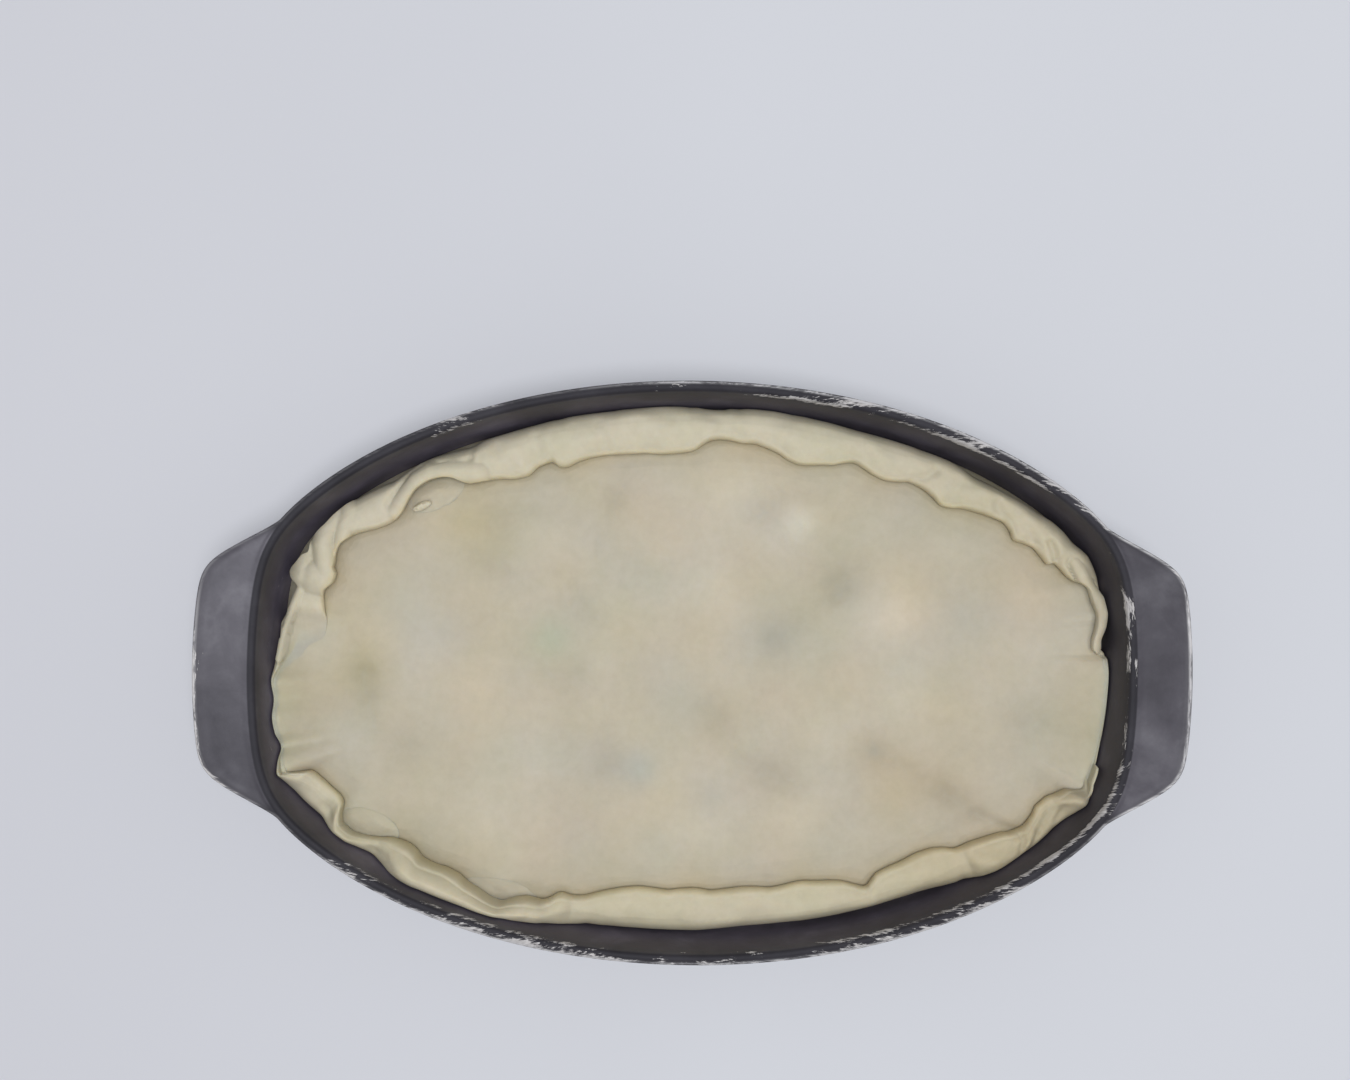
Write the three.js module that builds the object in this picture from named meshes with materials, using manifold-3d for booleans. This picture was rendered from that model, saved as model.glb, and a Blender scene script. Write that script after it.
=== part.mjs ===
// A chicken and rice pie before baking, in its own oval roasting dish, in millimetres.
// The dish is a coated metal pan with a rounded lip and a flat handle at each end. The pie is
// a pastry lining full of filling, and a rolled pastry lid. The lining's edge is folded in over
// the lid along both long sides; at the two ends it only stands up against the wall.
// The origin is the centre of the dish's underside, +X runs through both handles and +Z is up.

import * as THREE from 'three';
import { mergeVertices } from 'three/addons/utils/BufferGeometryUtils.js';
import Module from 'manifold-3d';

const { degToRad, lerp, radToDeg, smoothstep } = THREE.MathUtils;

// ---------------------------------------------------------------- driving dimensions

// The opening is an oval: its long sides follow one ellipse, its ends another (semi-axes), and a
// high power joins the two in a short rounded corner.
const SIDE_ELLIPSE = { x: 193.5, y: 115.2 };
const END_ELLIPSE = { x: 179.2, y: 242.7 };
const CORNER_POWER = 44;

// Dish
const DISH_HEIGHT = 62;
const LIP_WIDTH = 4.9;
const LIP_DEPTH = 3.6;
const LIP_CROWN = 1.1;
const WALL = 3;
const FLOOR = 3;
const WALL_LEAN = Math.tan(degToRad(9));
const BASE_CORNER = 12;
const BASE_CORNER_STEPS = 3;

// Handles: a bowed end edge and two slanting sides. A slanting side is given by its distance
// from the dish's centre and the direction it faces.
const HANDLE_REACH = 205.5;
const HANDLE_BOW_RADIUS = 273;
const HANDLE_SIDE = { distance: 132.2, facing: degToRad(62.5) };
const HANDLE_CORNER_POWER = 45;
const HANDLE_FILLET_POWER = 120;
const HANDLE_THICKNESS = 2.8;
const HANDLE_BELOW_LIP = 0.8;
const HANDLE_BEVEL = 0.5;
const HANDLE_ROOT_ANGLE = degToRad(24);
const HANDLE_STEPS = 28;

// Pastry. A fold stands FOLD_HEIGHT above the lid, and its nose, the free edge, NOSE_HEIGHT; the
// edge that only stands at the wall has a thin nose. A fold is as wide as FULL_FOLD or wider.
const GAP = 0.3;
const PASTRY = 3;
const LID_LEVEL = 35;
const FOLD_HEIGHT = 8;
const NOSE_HEIGHT = 4;
const THIN_NOSE_HEIGHT = 1.5;
const THIN_EDGE = 3;
const FULL_FOLD = 10;

// Touching the wall, the pastry's edge is EDGE_FALL lower for each millimetre that it shows
// further in, down to LOWEST_EDGE. A low edge arches over to the lid; one higher up the wall
// than HIGH_EDGE slopes down from a crest close to the wall.
const EDGE_FALL = 8;
const LOWEST_EDGE = 37;
const MIDDLE_EDGE = 42;
const HIGH_EDGE = 52;

// Places across the fold, as shares of its width from the outer edge to the nose.
const CREST_PLACE = { low: 0.48, high: 0.15 };
const BROW_PLACE = 0.72;
const NOSE_PLACE = 0.92;
const LID_EDGE_PLACE = 0.7;
const BROW_RISE = { low: 0.62, high: 0.5 };

// How many steps the round bodies take, and where the lid's rings lie, as distances in from
// the opening. CENTRE is half the opening's width, so it stands for the middle of the dish.
const STEPS = 136;
const CENTRE = SIDE_ELLIPSE.y;
const FLAT_RINGS = [32, 52, 73, 94, CENTRE];

// The pastry's outer edge: [degrees round the dish, distance in from the opening as seen from
// above]. One row for each place where the edge turns outward or inward.
const EDGE_STAND = [
  [0, 3.5], [3, 3.9], [4.3, 7.2], [7.5, 3.9], [12, 4.4], [16, 4.3], [20, 6.5], [24, 6],
  [28.5, 7.2], [36, 8], [40, 6.2], [56, 5.9], [66, 4.7], [77, 3.8], [84.5, 5.3], [91, 4.2],
  [97, 3.9], [110, 4.3], [120, 5.2], [131, 6.2], [134, 7.6], [141, 6], [147, 11], [148.5, 7.5],
  [154, 6], [159.5, 7], [162.7, 9.5], [166.3, 5.5], [168.8, 10], [173, 6], [180, 3.4],
  [187, 2.8], [191, 3.6], [194.5, 2.2], [202.5, 3.8], [206, 2.8], [211, 3.6], [216, 2],
  [231, 1.8], [250, 4.3], [262, 5], [272, 5.2], [280, 6.3], [313, 6.5], [322, 4], [328, 3.1],
  [337, 3.8], [341, 2.8], [346, 4.3], [352, 4],
];

// The fold's free inner edge: [degrees, distance in from the opening]. Each row is the tip of a
// lobe that laps over the lid or the bottom of the notch between two lobes. Where the distance
// is under about 8 there is no fold, and the edge of the pastry stands up the wall.
const FOLD_REACH = [
  [2.4, 6.6], [4.5, 10.4], [8, 8], [12, 9.5], [15, 16.5], [18, 18], [20, 21], [23.5, 20],
  [26.5, 22.5], [29.3, 18.8], [39, 25], [45.5, 20.8], [49.8, 23.3], [56, 19.8], [66.5, 25.2],
  [77.5, 18.8], [84, 18], [96, 24.3], [110, 23], [118, 25.7], [121, 22.3], [127, 26],
  [137, 21.5], [143, 23.5], [148, 21.3], [150.5, 22.8], [158, 17.3], [165, 24.6], [169, 21.5],
  [173, 23.8], [176.5, 6.5], [187, 5.4], [194, 4.8], [196, 12], [202.5, 16], [204.5, 12.8],
  [208.5, 18.3], [213, 14], [215, 15], [219, 12], [226, 10.6], [233, 15.6], [238.5, 11.3],
  [242.8, 16], [247, 16], [259, 22.8], [265, 22], [271, 23], [275.5, 22], [282, 22.9],
  [288, 21.7], [294, 22.8], [306.5, 15.5], [317.5, 22.3], [324, 18], [333, 12.5],
  [337, 16.2], [341, 12.5], [343, 7], [352, 6.5],
];

// Pleats that cross the fold: [degrees, depth of the dip in its top].
const PLEATS = [
  [21, 1.5], [45, 1.6], [88, 2.2], [121, 2], [134, 1.4], [147.5, 2.6], [162.5, 2.4],
  [204.5, 2.2], [241.5, 1.5], [306.5, 1.6], [321, 1.8], [331, 1.5],
];
const PLEAT_HALF_WIDTH = 2.2;

// Lumps of filling that lift the lid, and the hollows between them: [x, y, radius, height].
const LUMPS = [
  [-60, 54, 15, 1.6], [45, 62, 9, 1.5], [85, 24, 17, 1.9], [90, -12, 18, 1.6],
  [56, -26, 15, 1.6], [9, 34, 14, 1.2], [16, 76, 16, 1.4], [-33, 27, 12, 1.1],
  [-41, 3, 9, 1.1], [-94, -10, 16, 1.1], [-72, -33, 17, 1.4], [-84, -66, 18, 1.3],
  [3, -70, 10, 1.2], [45, -63, 13, 1.2], [-120, 10, 18, 1], [142, -2, 18, 0.9],
  [-85, 56, 13, -1.3], [-32, 73, 9, -1.4], [31, 66, 7, -1], [62, 36, 9, -1.4],
  [37, 15, 10, -1.2], [11, -22, 10, -1.7], [34, -46, 10, -1.5], [-36, -41, 12, -1.5],
  [-139, -8, 11, -1.6], [-48, -2, 8, -0.9], [79, -38, 12, -1.5], [112, -53, 12, -1.4],
  [145, -24, 13, -1.1], [119, 26, 12, -0.9], [-49, -66, 12, -1.1], [-120, -37, 11, -1],
];

// ---------------------------------------------------------------- the oval

// A soft maximum of positive numbers for a positive power, and a soft minimum for a negative one.
function blend(values, power) {
  const sum = values.reduce((total, value) => total + value ** power, 0);
  return sum ** (1 / power);
}

// Distance from the centre to the opening's outline, or to one that is `grow` bigger all round.
function ovalRadius(angle, grow = 0) {
  const ellipses = [SIDE_ELLIPSE, END_ELLIPSE];
  const radii = ellipses.map(({ x, y }) =>
    1 / Math.hypot(Math.cos(angle) / (x + grow), Math.sin(angle) / (y + grow)));
  return blend(radii, -CORNER_POWER);
}

function ovalPoint(angle) {
  const radius = ovalRadius(angle);
  return new THREE.Vector2(radius * Math.cos(angle), radius * Math.sin(angle));
}

// The point `inward` millimetres inside the opening, square to its outline. Past the first flat
// ring the points close in evenly on the middle of the dish.
function insidePoint(angle, inward) {
  const nudge = 1e-4;
  const along = ovalPoint(angle + nudge).sub(ovalPoint(angle - nudge)).normalize();
  const distance = Math.min(inward, FLAT_RINGS[0]);
  const point = ovalPoint(angle).add(new THREE.Vector2(-along.y, along.x).multiplyScalar(distance));
  const share = (inward - distance) / (CENTRE - FLAT_RINGS[0]);
  return point.multiplyScalar(1 - share);
}

// ---------------------------------------------------------------- solids

// A lathe whose section changes as it goes round the oval. section(angle) lists [inward, height]
// from the middle of the underside, out and up, back to the middle of the top.
function ovalLathe(section) {
  const count = section(0).length;
  const profile = Array.from({ length: count }, (_, row) => new THREE.Vector2(1, row));
  const geometry = new THREE.LatheGeometry(profile, STEPS);
  const position = geometry.attributes.position;
  for (let step = 0; step <= STEPS; step++) {
    const angle = ((step % STEPS) / STEPS) * 2 * Math.PI;
    section(angle).forEach(([inward, height], row) => {
      const { x, y } = insidePoint(angle, inward);
      position.setXYZ(step * count + row, x, y, height);
    });
  }
  return geometry;
}

// Joins the shared corners of a geometry, so that it is one closed body, and drops the slivers
// without area that a lathe leaves where its section meets the axis.
function closed(geometry) {
  const bare = geometry.clone();
  bare.deleteAttribute('normal');
  bare.deleteAttribute('uv');
  const merged = mergeVertices(bare, 1e-4);
  const corners = Array.from(merged.index.array);
  const triangles = [];
  for (let first = 0; first < corners.length; first += 3) {
    const triangle = corners.slice(first, first + 3);
    if (new Set(triangle).size === 3) {
      triangles.push(...triangle);
    }
  }
  merged.setIndex(triangles);
  return merged;
}

const manifold = await Module();
manifold.setup();

function toSolid(geometry) {
  const whole = closed(geometry);
  const mesh = new manifold.Mesh({
    numProp: 3,
    vertProperties: new Float32Array(whole.attributes.position.array),
    triVerts: new Uint32Array(whole.index.array),
  });
  return new manifold.Manifold(mesh);
}

function toGeometry(solid) {
  const mesh = solid.getMesh();
  const geometry = new THREE.BufferGeometry();
  geometry.setAttribute('position', new THREE.BufferAttribute(mesh.vertProperties, 3));
  geometry.setIndex(new THREE.BufferAttribute(mesh.triVerts, 1));
  geometry.computeVertexNormals();
  return geometry;
}

// ---------------------------------------------------------------- dish

// How far in from the opening the inner face of the wall lies at a height.
function wallInward(height) {
  return (DISH_HEIGHT - height) * WALL_LEAN;
}

const cornerInward = wallInward(BASE_CORNER) - WALL + BASE_CORNER;

// The quarter-round between the floor and the wall, for one face of the dish or the pastry.
function baseCorner(radius) {
  return Array.from({ length: BASE_CORNER_STEPS + 1 }, (_, step) => {
    const turn = (step / BASE_CORNER_STEPS) * (Math.PI / 2);
    return [cornerInward - radius * Math.sin(turn), BASE_CORNER - radius * Math.cos(turn)];
  });
}

function dishSection() {
  const lipUnder = DISH_HEIGHT - LIP_DEPTH;
  return [
    [CENTRE, 0],
    ...baseCorner(BASE_CORNER),
    [wallInward(lipUnder) - WALL, lipUnder - 0.4],
    [-LIP_WIDTH, lipUnder],
    [-LIP_WIDTH, DISH_HEIGHT - LIP_CROWN],
    [-0.8 * LIP_WIDTH, DISH_HEIGHT - 0.2 * LIP_CROWN],
    [-0.5 * LIP_WIDTH, DISH_HEIGHT],
    [-0.2 * LIP_WIDTH, DISH_HEIGHT - 0.2 * LIP_CROWN],
    [0, DISH_HEIGHT - LIP_CROWN],
    ...baseCorner(BASE_CORNER - WALL).reverse(),
    [CENTRE, FLOOR],
  ];
}

// Distance from the dish's centre to the outline of a handle and of the lip it grows out of.
function handleRadius(angle) {
  const bowCentre = HANDLE_REACH - HANDLE_BOW_RADIUS;
  const bow = bowCentre * Math.cos(angle)
    + Math.sqrt(HANDLE_BOW_RADIUS ** 2 - (bowCentre * Math.sin(angle)) ** 2);
  const side = HANDLE_SIDE.distance / Math.cos(Math.abs(angle) - HANDLE_SIDE.facing);
  const plate = blend([bow, side], -HANDLE_CORNER_POWER);
  const insideLip = ovalRadius(angle, LIP_WIDTH - 1);
  return blend([plate, insideLip], HANDLE_FILLET_POWER);
}

// One flat handle plate. Its inner edge runs inside the lip, which the plate is joined to.
function handlePlate(middle) {
  const outline = [];
  for (let step = 0; step <= HANDLE_STEPS; step++) {
    const angle = lerp(-HANDLE_ROOT_ANGLE, HANDLE_ROOT_ANGLE, step / HANDLE_STEPS);
    const radius = handleRadius(angle);
    outline.push([radius * Math.cos(angle + middle), radius * Math.sin(angle + middle)]);
  }
  const rootSteps = HANDLE_STEPS / 2;
  for (let step = rootSteps; step >= 0; step--) {
    const angle = lerp(-HANDLE_ROOT_ANGLE, HANDLE_ROOT_ANGLE, step / rootSteps);
    const radius = ovalRadius(angle, LIP_WIDTH / 3);
    outline.push([radius * Math.cos(angle + middle), radius * Math.sin(angle + middle)]);
  }
  const shape = new THREE.Shape(outline.map(([x, y]) => new THREE.Vector2(x, y)));
  const geometry = new THREE.ExtrudeGeometry(shape, {
    depth: HANDLE_THICKNESS - 2 * HANDLE_BEVEL,
    bevelEnabled: true,
    bevelThickness: HANDLE_BEVEL,
    bevelSize: HANDLE_BEVEL,
    bevelOffset: -HANDLE_BEVEL,
    bevelSegments: 1,
  });
  const underside = DISH_HEIGHT - HANDLE_BELOW_LIP - HANDLE_THICKNESS;
  return geometry.translate(0, 0, underside + HANDLE_BEVEL);
}

function dishGeometry() {
  const pan = toSolid(ovalLathe(dishSection));
  const rightHandle = toSolid(handlePlate(0));
  const leftHandle = toSolid(handlePlate(Math.PI));
  return toGeometry(pan.add(rightHandle).add(leftHandle));
}

// ---------------------------------------------------------------- pie

// Reads a table of [degrees, value] turning points. Between two of them the value swings over
// smoothly, and the table closes on itself after a full turn.
function swing(table, degrees) {
  const next = table.findIndex(([start]) => start > degrees);
  const after = next === -1 ? [table[0][0] + 360, table[0][1]] : table[next];
  const last = table[table.length - 1];
  const before = next === 0 ? [last[0] - 360, last[1]] : table.at(next === -1 ? -1 : next - 1);
  return lerp(before[1], after[1], smoothstep(degrees, before[0], after[0]));
}

function pleatDip(degrees) {
  return PLEATS.reduce((dip, [centre, depth]) => {
    const away = (degrees - centre) / PLEAT_HALF_WIDTH;
    return dip + depth * Math.exp(-away * away);
  }, 0);
}

// The measures of the pastry's edge at one angle: where it stands and how far its fold reaches,
// how full the fold is, the edge's height and steepness, and the lid's edge and rise to meet it.
function edgeAt(angle) {
  const degrees = radToDeg(angle);
  const stand = swing(EDGE_STAND, degrees);
  const reach = swing(FOLD_REACH, degrees);
  const fullness = smoothstep(reach - stand, THIN_EDGE, FULL_FOLD);
  const height = Math.max(LOWEST_EDGE, DISH_HEIGHT - EDGE_FALL * (stand - 1));
  const steepness = smoothstep(height, MIDDLE_EDGE, HIGH_EDGE);
  const crest = Math.max(height + 1, LID_LEVEL + FOLD_HEIGHT) - pleatDip(degrees) * fullness;
  const lidEdge = lerp(stand, reach, LID_EDGE_PLACE);
  const lidRise = (height - THIN_NOSE_HEIGHT - LID_LEVEL) * (1 - fullness);
  return { stand, reach, fullness, height, steepness, crest, lidEdge, lidRise };
}

// Height of the lid's top. It rises to the wall where there is no fold, over lumps elsewhere.
function lidTop(angle, inward, edge) {
  const { x, y } = insidePoint(angle, inward);
  const climb = Math.max(0, (FLAT_RINGS[0] - inward) / (FLAT_RINGS[0] - edge.reach));
  const lumps = LUMPS.reduce((sum, [cx, cy, radius, height]) =>
    sum + height * Math.exp(-((x - cx) ** 2 + (y - cy) ** 2) / radius ** 2), 0);
  return LID_LEVEL + edge.lidRise * climb ** 1.5 + lumps;
}

// Distances in from the opening at which the lid has a ring of points, from its edge inward.
function lidRings(edge) {
  const slope = (edge.reach + FLAT_RINGS[0]) / 2;
  return [edge.lidEdge, edge.reach, slope, ...FLAT_RINGS];
}

// The lid's section, or with some clearance the section of the slot that the lid lies in.
function lidSection(angle, clearance = 0) {
  const edge = edgeAt(angle);
  const top = lidRings(edge).map((inward, ring) => {
    const height = lidTop(angle, inward, edge) + clearance;
    return [ring === 0 ? inward - clearance : inward, height];
  });
  const underside = top.map(([inward, height]) => [inward, height - PASTRY - 2 * clearance]);
  return [...underside.reverse(), ...top];
}

// The lining with its filling and half of the lid: up the wall, over the fold, down the fold's
// nose and in to the middle. The lid's slot is cut from it afterwards.
function crustSection(angle) {
  const edge = edgeAt(angle);
  const { stand, reach, fullness, height, steepness, crest } = edge;
  const crestPlace = lerp(CREST_PLACE.low, CREST_PLACE.high, steepness);
  const noseHeight = lerp(THIN_NOSE_HEIGHT, NOSE_HEIGHT, fullness);
  const nose = lidTop(angle, reach, edge) + noseHeight;
  const brow = lerp(nose, crest, lerp(BROW_RISE.low, BROW_RISE.high, steepness));
  const leavesWall = LOWEST_EDGE - 5;
  const outermost = Math.max(stand, wallInward(height - 2) + GAP);
  const rings = lidRings(edge).slice(1);
  return [
    [CENTRE, FLOOR + GAP],
    ...baseCorner(BASE_CORNER - WALL - GAP),
    [wallInward(leavesWall) + GAP, leavesWall],
    [outermost, height - 2],
    [lerp(outermost, reach, 0.1), height + 0.5],
    [lerp(stand, reach, crestPlace), crest],
    [lerp(stand, reach, BROW_PLACE), brow],
    [lerp(stand, reach, NOSE_PLACE), nose],
    [reach, nose - 0.4 * noseHeight],
    ...rings.map((inward) => [inward, lidTop(angle, inward, edge) - PASTRY / 2]),
  ];
}

function crustGeometry() {
  const whole = toSolid(ovalLathe(crustSection));
  const slot = toSolid(ovalLathe((angle) => lidSection(angle, GAP)));
  return toGeometry(whole.subtract(slot));
}

// ---------------------------------------------------------------- the whole

function named(name, geometry, material) {
  const mesh = new THREE.Mesh(geometry, new THREE.MeshStandardMaterial(material));
  mesh.name = name;
  return mesh;
}

const COATING = { color: 0x3e3d3d, roughness: 0.5, metalness: 0.3 };
const LINING_DOUGH = { color: 0xc4bb9f, roughness: 0.6, metalness: 0 };
const LID_DOUGH = { color: 0xbeb59d, roughness: 0.6, metalness: 0 };

const group = new THREE.Group();
group.add(named('dish', dishGeometry(), COATING));
group.add(named('filled_crust', crustGeometry(), LINING_DOUGH));
group.add(named('pastry_lid', closed(ovalLathe((angle) => lidSection(angle))), LID_DOUGH));

export default group;
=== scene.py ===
# A chicken and rice pie before baking, in its oval roasting dish.
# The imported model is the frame. Its dish, its filled crust and its pastry lid are each stood for by
# a finer piece of the same form. Lengths are in millimetres until a piece gets its place.

import math

import bmesh
import bpy
from mathutils import Matrix, Vector, noise
from mathutils.bvhtree import BVHTree


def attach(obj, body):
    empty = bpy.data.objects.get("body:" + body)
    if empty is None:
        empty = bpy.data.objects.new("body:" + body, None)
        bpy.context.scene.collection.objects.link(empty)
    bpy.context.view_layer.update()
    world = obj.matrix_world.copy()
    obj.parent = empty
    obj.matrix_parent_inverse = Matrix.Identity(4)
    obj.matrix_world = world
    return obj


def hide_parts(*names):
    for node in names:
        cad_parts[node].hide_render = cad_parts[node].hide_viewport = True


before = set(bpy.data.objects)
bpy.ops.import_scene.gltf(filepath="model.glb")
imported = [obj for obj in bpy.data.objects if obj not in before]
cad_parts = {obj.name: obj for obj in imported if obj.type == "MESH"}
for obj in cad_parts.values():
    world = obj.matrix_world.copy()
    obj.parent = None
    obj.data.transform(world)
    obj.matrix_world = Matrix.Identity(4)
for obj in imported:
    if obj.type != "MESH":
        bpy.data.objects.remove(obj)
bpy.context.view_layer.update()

# ------------------------------------------------------------------ the dish
# A cast metal roasting dish with a dark coating, oval, with a rounded lip and a flat handle at
# each end. It is one casting. The coating has chipped off along the lip and the handle's edges,
# where bare pale metal shows.

MM = 0.001
WELD = 1e-6
THINNEST = 1e-7

# The opening is two ellipses, half their length and half their width, blended at the corners.
SIDE_ELLIPSE = (193.5, 115.2)
END_ELLIPSE = (179.2, 242.7)
CORNER_POWER = 44
NEXT_ANGLE = 1e-4
EVEN_INWARD = 32
MIDDLE = SIDE_ELLIPSE[1]

DISH_HEIGHT = 62
WALL = 3
FLOOR = 3
WALL_LEAN = math.tan(math.radians(9))
BASE_CORNER = 12
LIP_WIDTH = 4.9
DISH_TURNS = 900

# The handles: a bowed end between two straight sides, with a small bead along the edge.
HANDLE_SPAN = math.radians(26)
HANDLE_REACH = 205.5
HANDLE_BOW = 273
HANDLE_SIDE_DISTANCE = 132.2
HANDLE_SIDE_FACING = math.radians(62.5)
HANDLE_CORNER_POWER = 45
HANDLE_FILLET_POWER = 120
HANDLE_ROOT = LIP_WIDTH - 1
HANDLE_UNDERSIDE = 58.4
PLAIN_TOP, HANDLE_TOP = 61.4, 61.2
BEAD_RISE, BEAD_PLACE, BEAD_WIDTH = 0.25, 1.2, 1.3
DIP_DEPTH, DIP_PLACE, DIP_WIDTH = 0.45, 5, 3.5
DIP_START, DIP_FULL = 6, 14
HANDLE_START, HANDLE_FULL = 0.3, 5

# Heights up the outside and down the inside of the wall.
OUTSIDE_HEIGHTS = (18, 26, 34, 42, 49, 54.5, 57)
INSIDE_HEIGHTS = (58, 55, 51, 46, 40, 33, 26, 19, 13)
OUTSIDE_CORNER_STEPS = 7
INSIDE_CORNER_STEPS = 6

# Under the lip: out from the opening's edge, and height.
UNDER_LIP = ((2.7, 58.1), (3.3, 58.35))
LIP_FOOT = 4.0
UNDER_EDGE = 0.9
FOOT_HEIGHTS = (61.55, 61.75)
FOOT_WIDTH = 1.1
UNDERSIDE_STEPS = 4
TOP_INSETS = (1.0, 1.35, 1.9)
TOP_STEPS = 13

# Round the outermost edge: in from it, height, and its share of the chipping.
OUTER_EDGE = ((0.3, 58.65, .4), (0.03, 59.2, .6), (0, 59.9, .6), (0.03, 60.5, .7),
              (0.28, 61.0, .9), (0.6, 61.2, 1))

# Over the lip: out from the opening's edge, height, and its share of the chipping.
LIP_CROWN = ((3.45, 61.78, .66), (2.9, 61.95, .62), (2.3, 62.0, .54), (1.7, 61.93, .5),
             (1.15, 61.7, .7), (0.7, 61.3, .9), (0.3, 60.7, 1), (0.05, 60.0, 1),
             (-0.25, 59.1, .7))
INNER_EDGE = 2


def opening_radius(angle, grow=0.0):
    """Distance from the dish's centre to the opening's edge, in a direction."""
    distances = []
    for half_long, half_wide in (SIDE_ELLIPSE, END_ELLIPSE):
        distances.append(1 / math.hypot(math.cos(angle) / (half_long + grow),
                                        math.sin(angle) / (half_wide + grow)))
    total = sum(distance ** -CORNER_POWER for distance in distances)
    return total ** (-1 / CORNER_POWER)


def opening_edge(angle):
    """A point of the opening's edge, and the direction straight inward from it."""
    def at(turn):
        return Vector((math.cos(turn), math.sin(turn))) * opening_radius(turn)
    along = (at(angle + NEXT_ANGLE) - at(angle - NEXT_ANGLE)).normalized()
    return at(angle), Vector((-along.y, along.x))


def spot(edge, inward, height):
    """The point at some distance in from the opening's edge. Past EVEN_INWARD the points close
    in evenly on the middle of the dish."""
    point, direction = edge
    near = point + direction * min(inward, EVEN_INWARD)
    left = 1 - max(0, inward - EVEN_INWARD) / (MIDDLE - EVEN_INWARD)
    return Vector((near.x * left, near.y * left, height))


def ease(value, low, high):
    """Goes smoothly from 0 at low to 1 at high."""
    share = min(max((value - low) / (high - low), 0), 1)
    return share * share * (3 - 2 * share)


def mix(a, b, share):
    """Goes evenly from a to b as share goes from 0 to 1."""
    return a + (b - a) * share


def flow(table, column, degrees):
    """Reads a column of a table by the degrees in its first one. The curve passes through each
    row without swinging past it, and closes on itself after a full turn."""
    rows = [(row[0], row[column]) for row in table]
    before = [(place - 360, value) for place, value in rows[-2:]]
    after = [(place + 360, value) for place, value in rows[:2]]
    rows = before + rows + after
    place = 1
    while rows[place + 1][0] <= degrees:
        place += 1
    slopes = [(rows[k + 1][1] - rows[k][1]) / (rows[k + 1][0] - rows[k][0])
              for k in range(place - 1, place + 2)]

    def lean(before, after):
        return 0 if before * after <= 0 else 2 * before * after / (before + after)
    start, end = rows[place], rows[place + 1]
    width = end[0] - start[0]
    t = (degrees - start[0]) / width
    return (start[1] * (1 + 2 * t) * (1 - t) ** 2 + end[1] * t * t * (3 - 2 * t)
            + width * lean(slopes[0], slopes[1]) * t * (1 - t) ** 2
            - width * lean(slopes[1], slopes[2]) * t * t * (1 - t))


WEDGES = 30
COPY_WELD = 1e-4


def turned_disc(rings, turns):
    """A flat disc of rings about the upright axis. A row of points 1 apart is spun into one
    wedge, and the wedge is spun round as copies that are welded together."""
    disc = bmesh.new()
    row = [disc.verts.new((ring, 0, 0)) for ring in range(rings)]
    spokes = [disc.edges.new(pair) for pair in zip(row, row[1:])]
    about = {"cent": (0, 0, 0), "axis": (0, 0, 1), "dvec": (0, 0, 0)}
    bmesh.ops.spin(disc, geom=row + spokes, angle=math.tau / WEDGES, steps=turns // WEDGES,
                   use_duplicate=False, **about)
    wedge = disc.verts[:] + disc.edges[:] + disc.faces[:]
    bmesh.ops.spin(disc, geom=wedge, angle=math.tau * (1 - 1 / WEDGES), steps=WEDGES - 1,
                   use_duplicate=True, **about)
    bmesh.ops.remove_doubles(disc, verts=disc.verts, dist=COPY_WELD)
    return disc


def carry(disc, turns, radius_at, marks=()):
    """Moves each ring of a turned disc onto its place round the oval and welds what then meets.
    radius_at(angle) lists the points of one radius and the marks that each of them keeps for
    the material."""
    layers = [disc.verts.layers.float_vector.new(mark) for mark in marks]
    radii = {}
    for vertex in disc.verts:
        ring = round(vertex.co.xy.length)
        turn = round(math.atan2(vertex.co.y, vertex.co.x) / math.tau * turns) % turns
        if turn not in radii:
            radii[turn] = radius_at(turn / turns * math.tau)
        point, *kept = radii[turn][ring]
        vertex.co = point * MM
        for layer, value in zip(layers, kept):
            vertex[layer] = value
    bmesh.ops.remove_doubles(disc, verts=disc.verts, dist=WELD)
    bmesh.ops.recalc_face_normals(disc, faces=disc.faces)


def finish_piece(shape, name, material, replaced):
    """Welds a shape, turns its faces outward and makes it a smooth piece of the object."""
    bmesh.ops.remove_doubles(shape, verts=shape.verts, dist=WELD)
    bmesh.ops.dissolve_degenerate(shape, edges=shape.edges, dist=THINNEST)
    bmesh.ops.recalc_face_normals(shape, faces=shape.faces)
    for face in shape.faces:
        face.smooth = True
    mesh = bpy.data.meshes.new(name)
    shape.to_mesh(mesh)
    shape.free()
    mesh.materials.append(material)
    piece = bpy.data.objects.new(name, mesh)
    bpy.context.scene.collection.objects.link(piece)
    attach(piece, "root")
    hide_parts(replaced)
    return piece


def wall_inward(height):
    """How far in from the opening the wall's inner face lies at a height."""
    return (DISH_HEIGHT - height) * WALL_LEAN


CORNER_INWARD = wall_inward(BASE_CORNER) - WALL + BASE_CORNER


def base_corner(radius, steps):
    """The quarter-round between floor and wall, from the floor up."""
    return [(CORNER_INWARD - radius * math.sin(step / steps * math.pi / 2),
             BASE_CORNER - radius * math.cos(step / steps * math.pi / 2))
            for step in range(steps + 1)]


def handle_radius(angle):
    """Distance from the dish's centre to a handle's outline, in the right handle's own turn."""
    bow_centre = HANDLE_REACH - HANDLE_BOW
    bow = (bow_centre * math.cos(angle)
           + math.sqrt(HANDLE_BOW ** 2 - (bow_centre * math.sin(angle)) ** 2))
    side = HANDLE_SIDE_DISTANCE / math.cos(abs(angle) - HANDLE_SIDE_FACING)
    plate = (bow ** -HANDLE_CORNER_POWER
             + side ** -HANDLE_CORNER_POWER) ** (-1 / HANDLE_CORNER_POWER)
    inside_lip = opening_radius(angle, HANDLE_ROOT)
    return (plate ** HANDLE_FILLET_POWER
            + inside_lip ** HANDLE_FILLET_POWER) ** (1 / HANDLE_FILLET_POWER)


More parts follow.
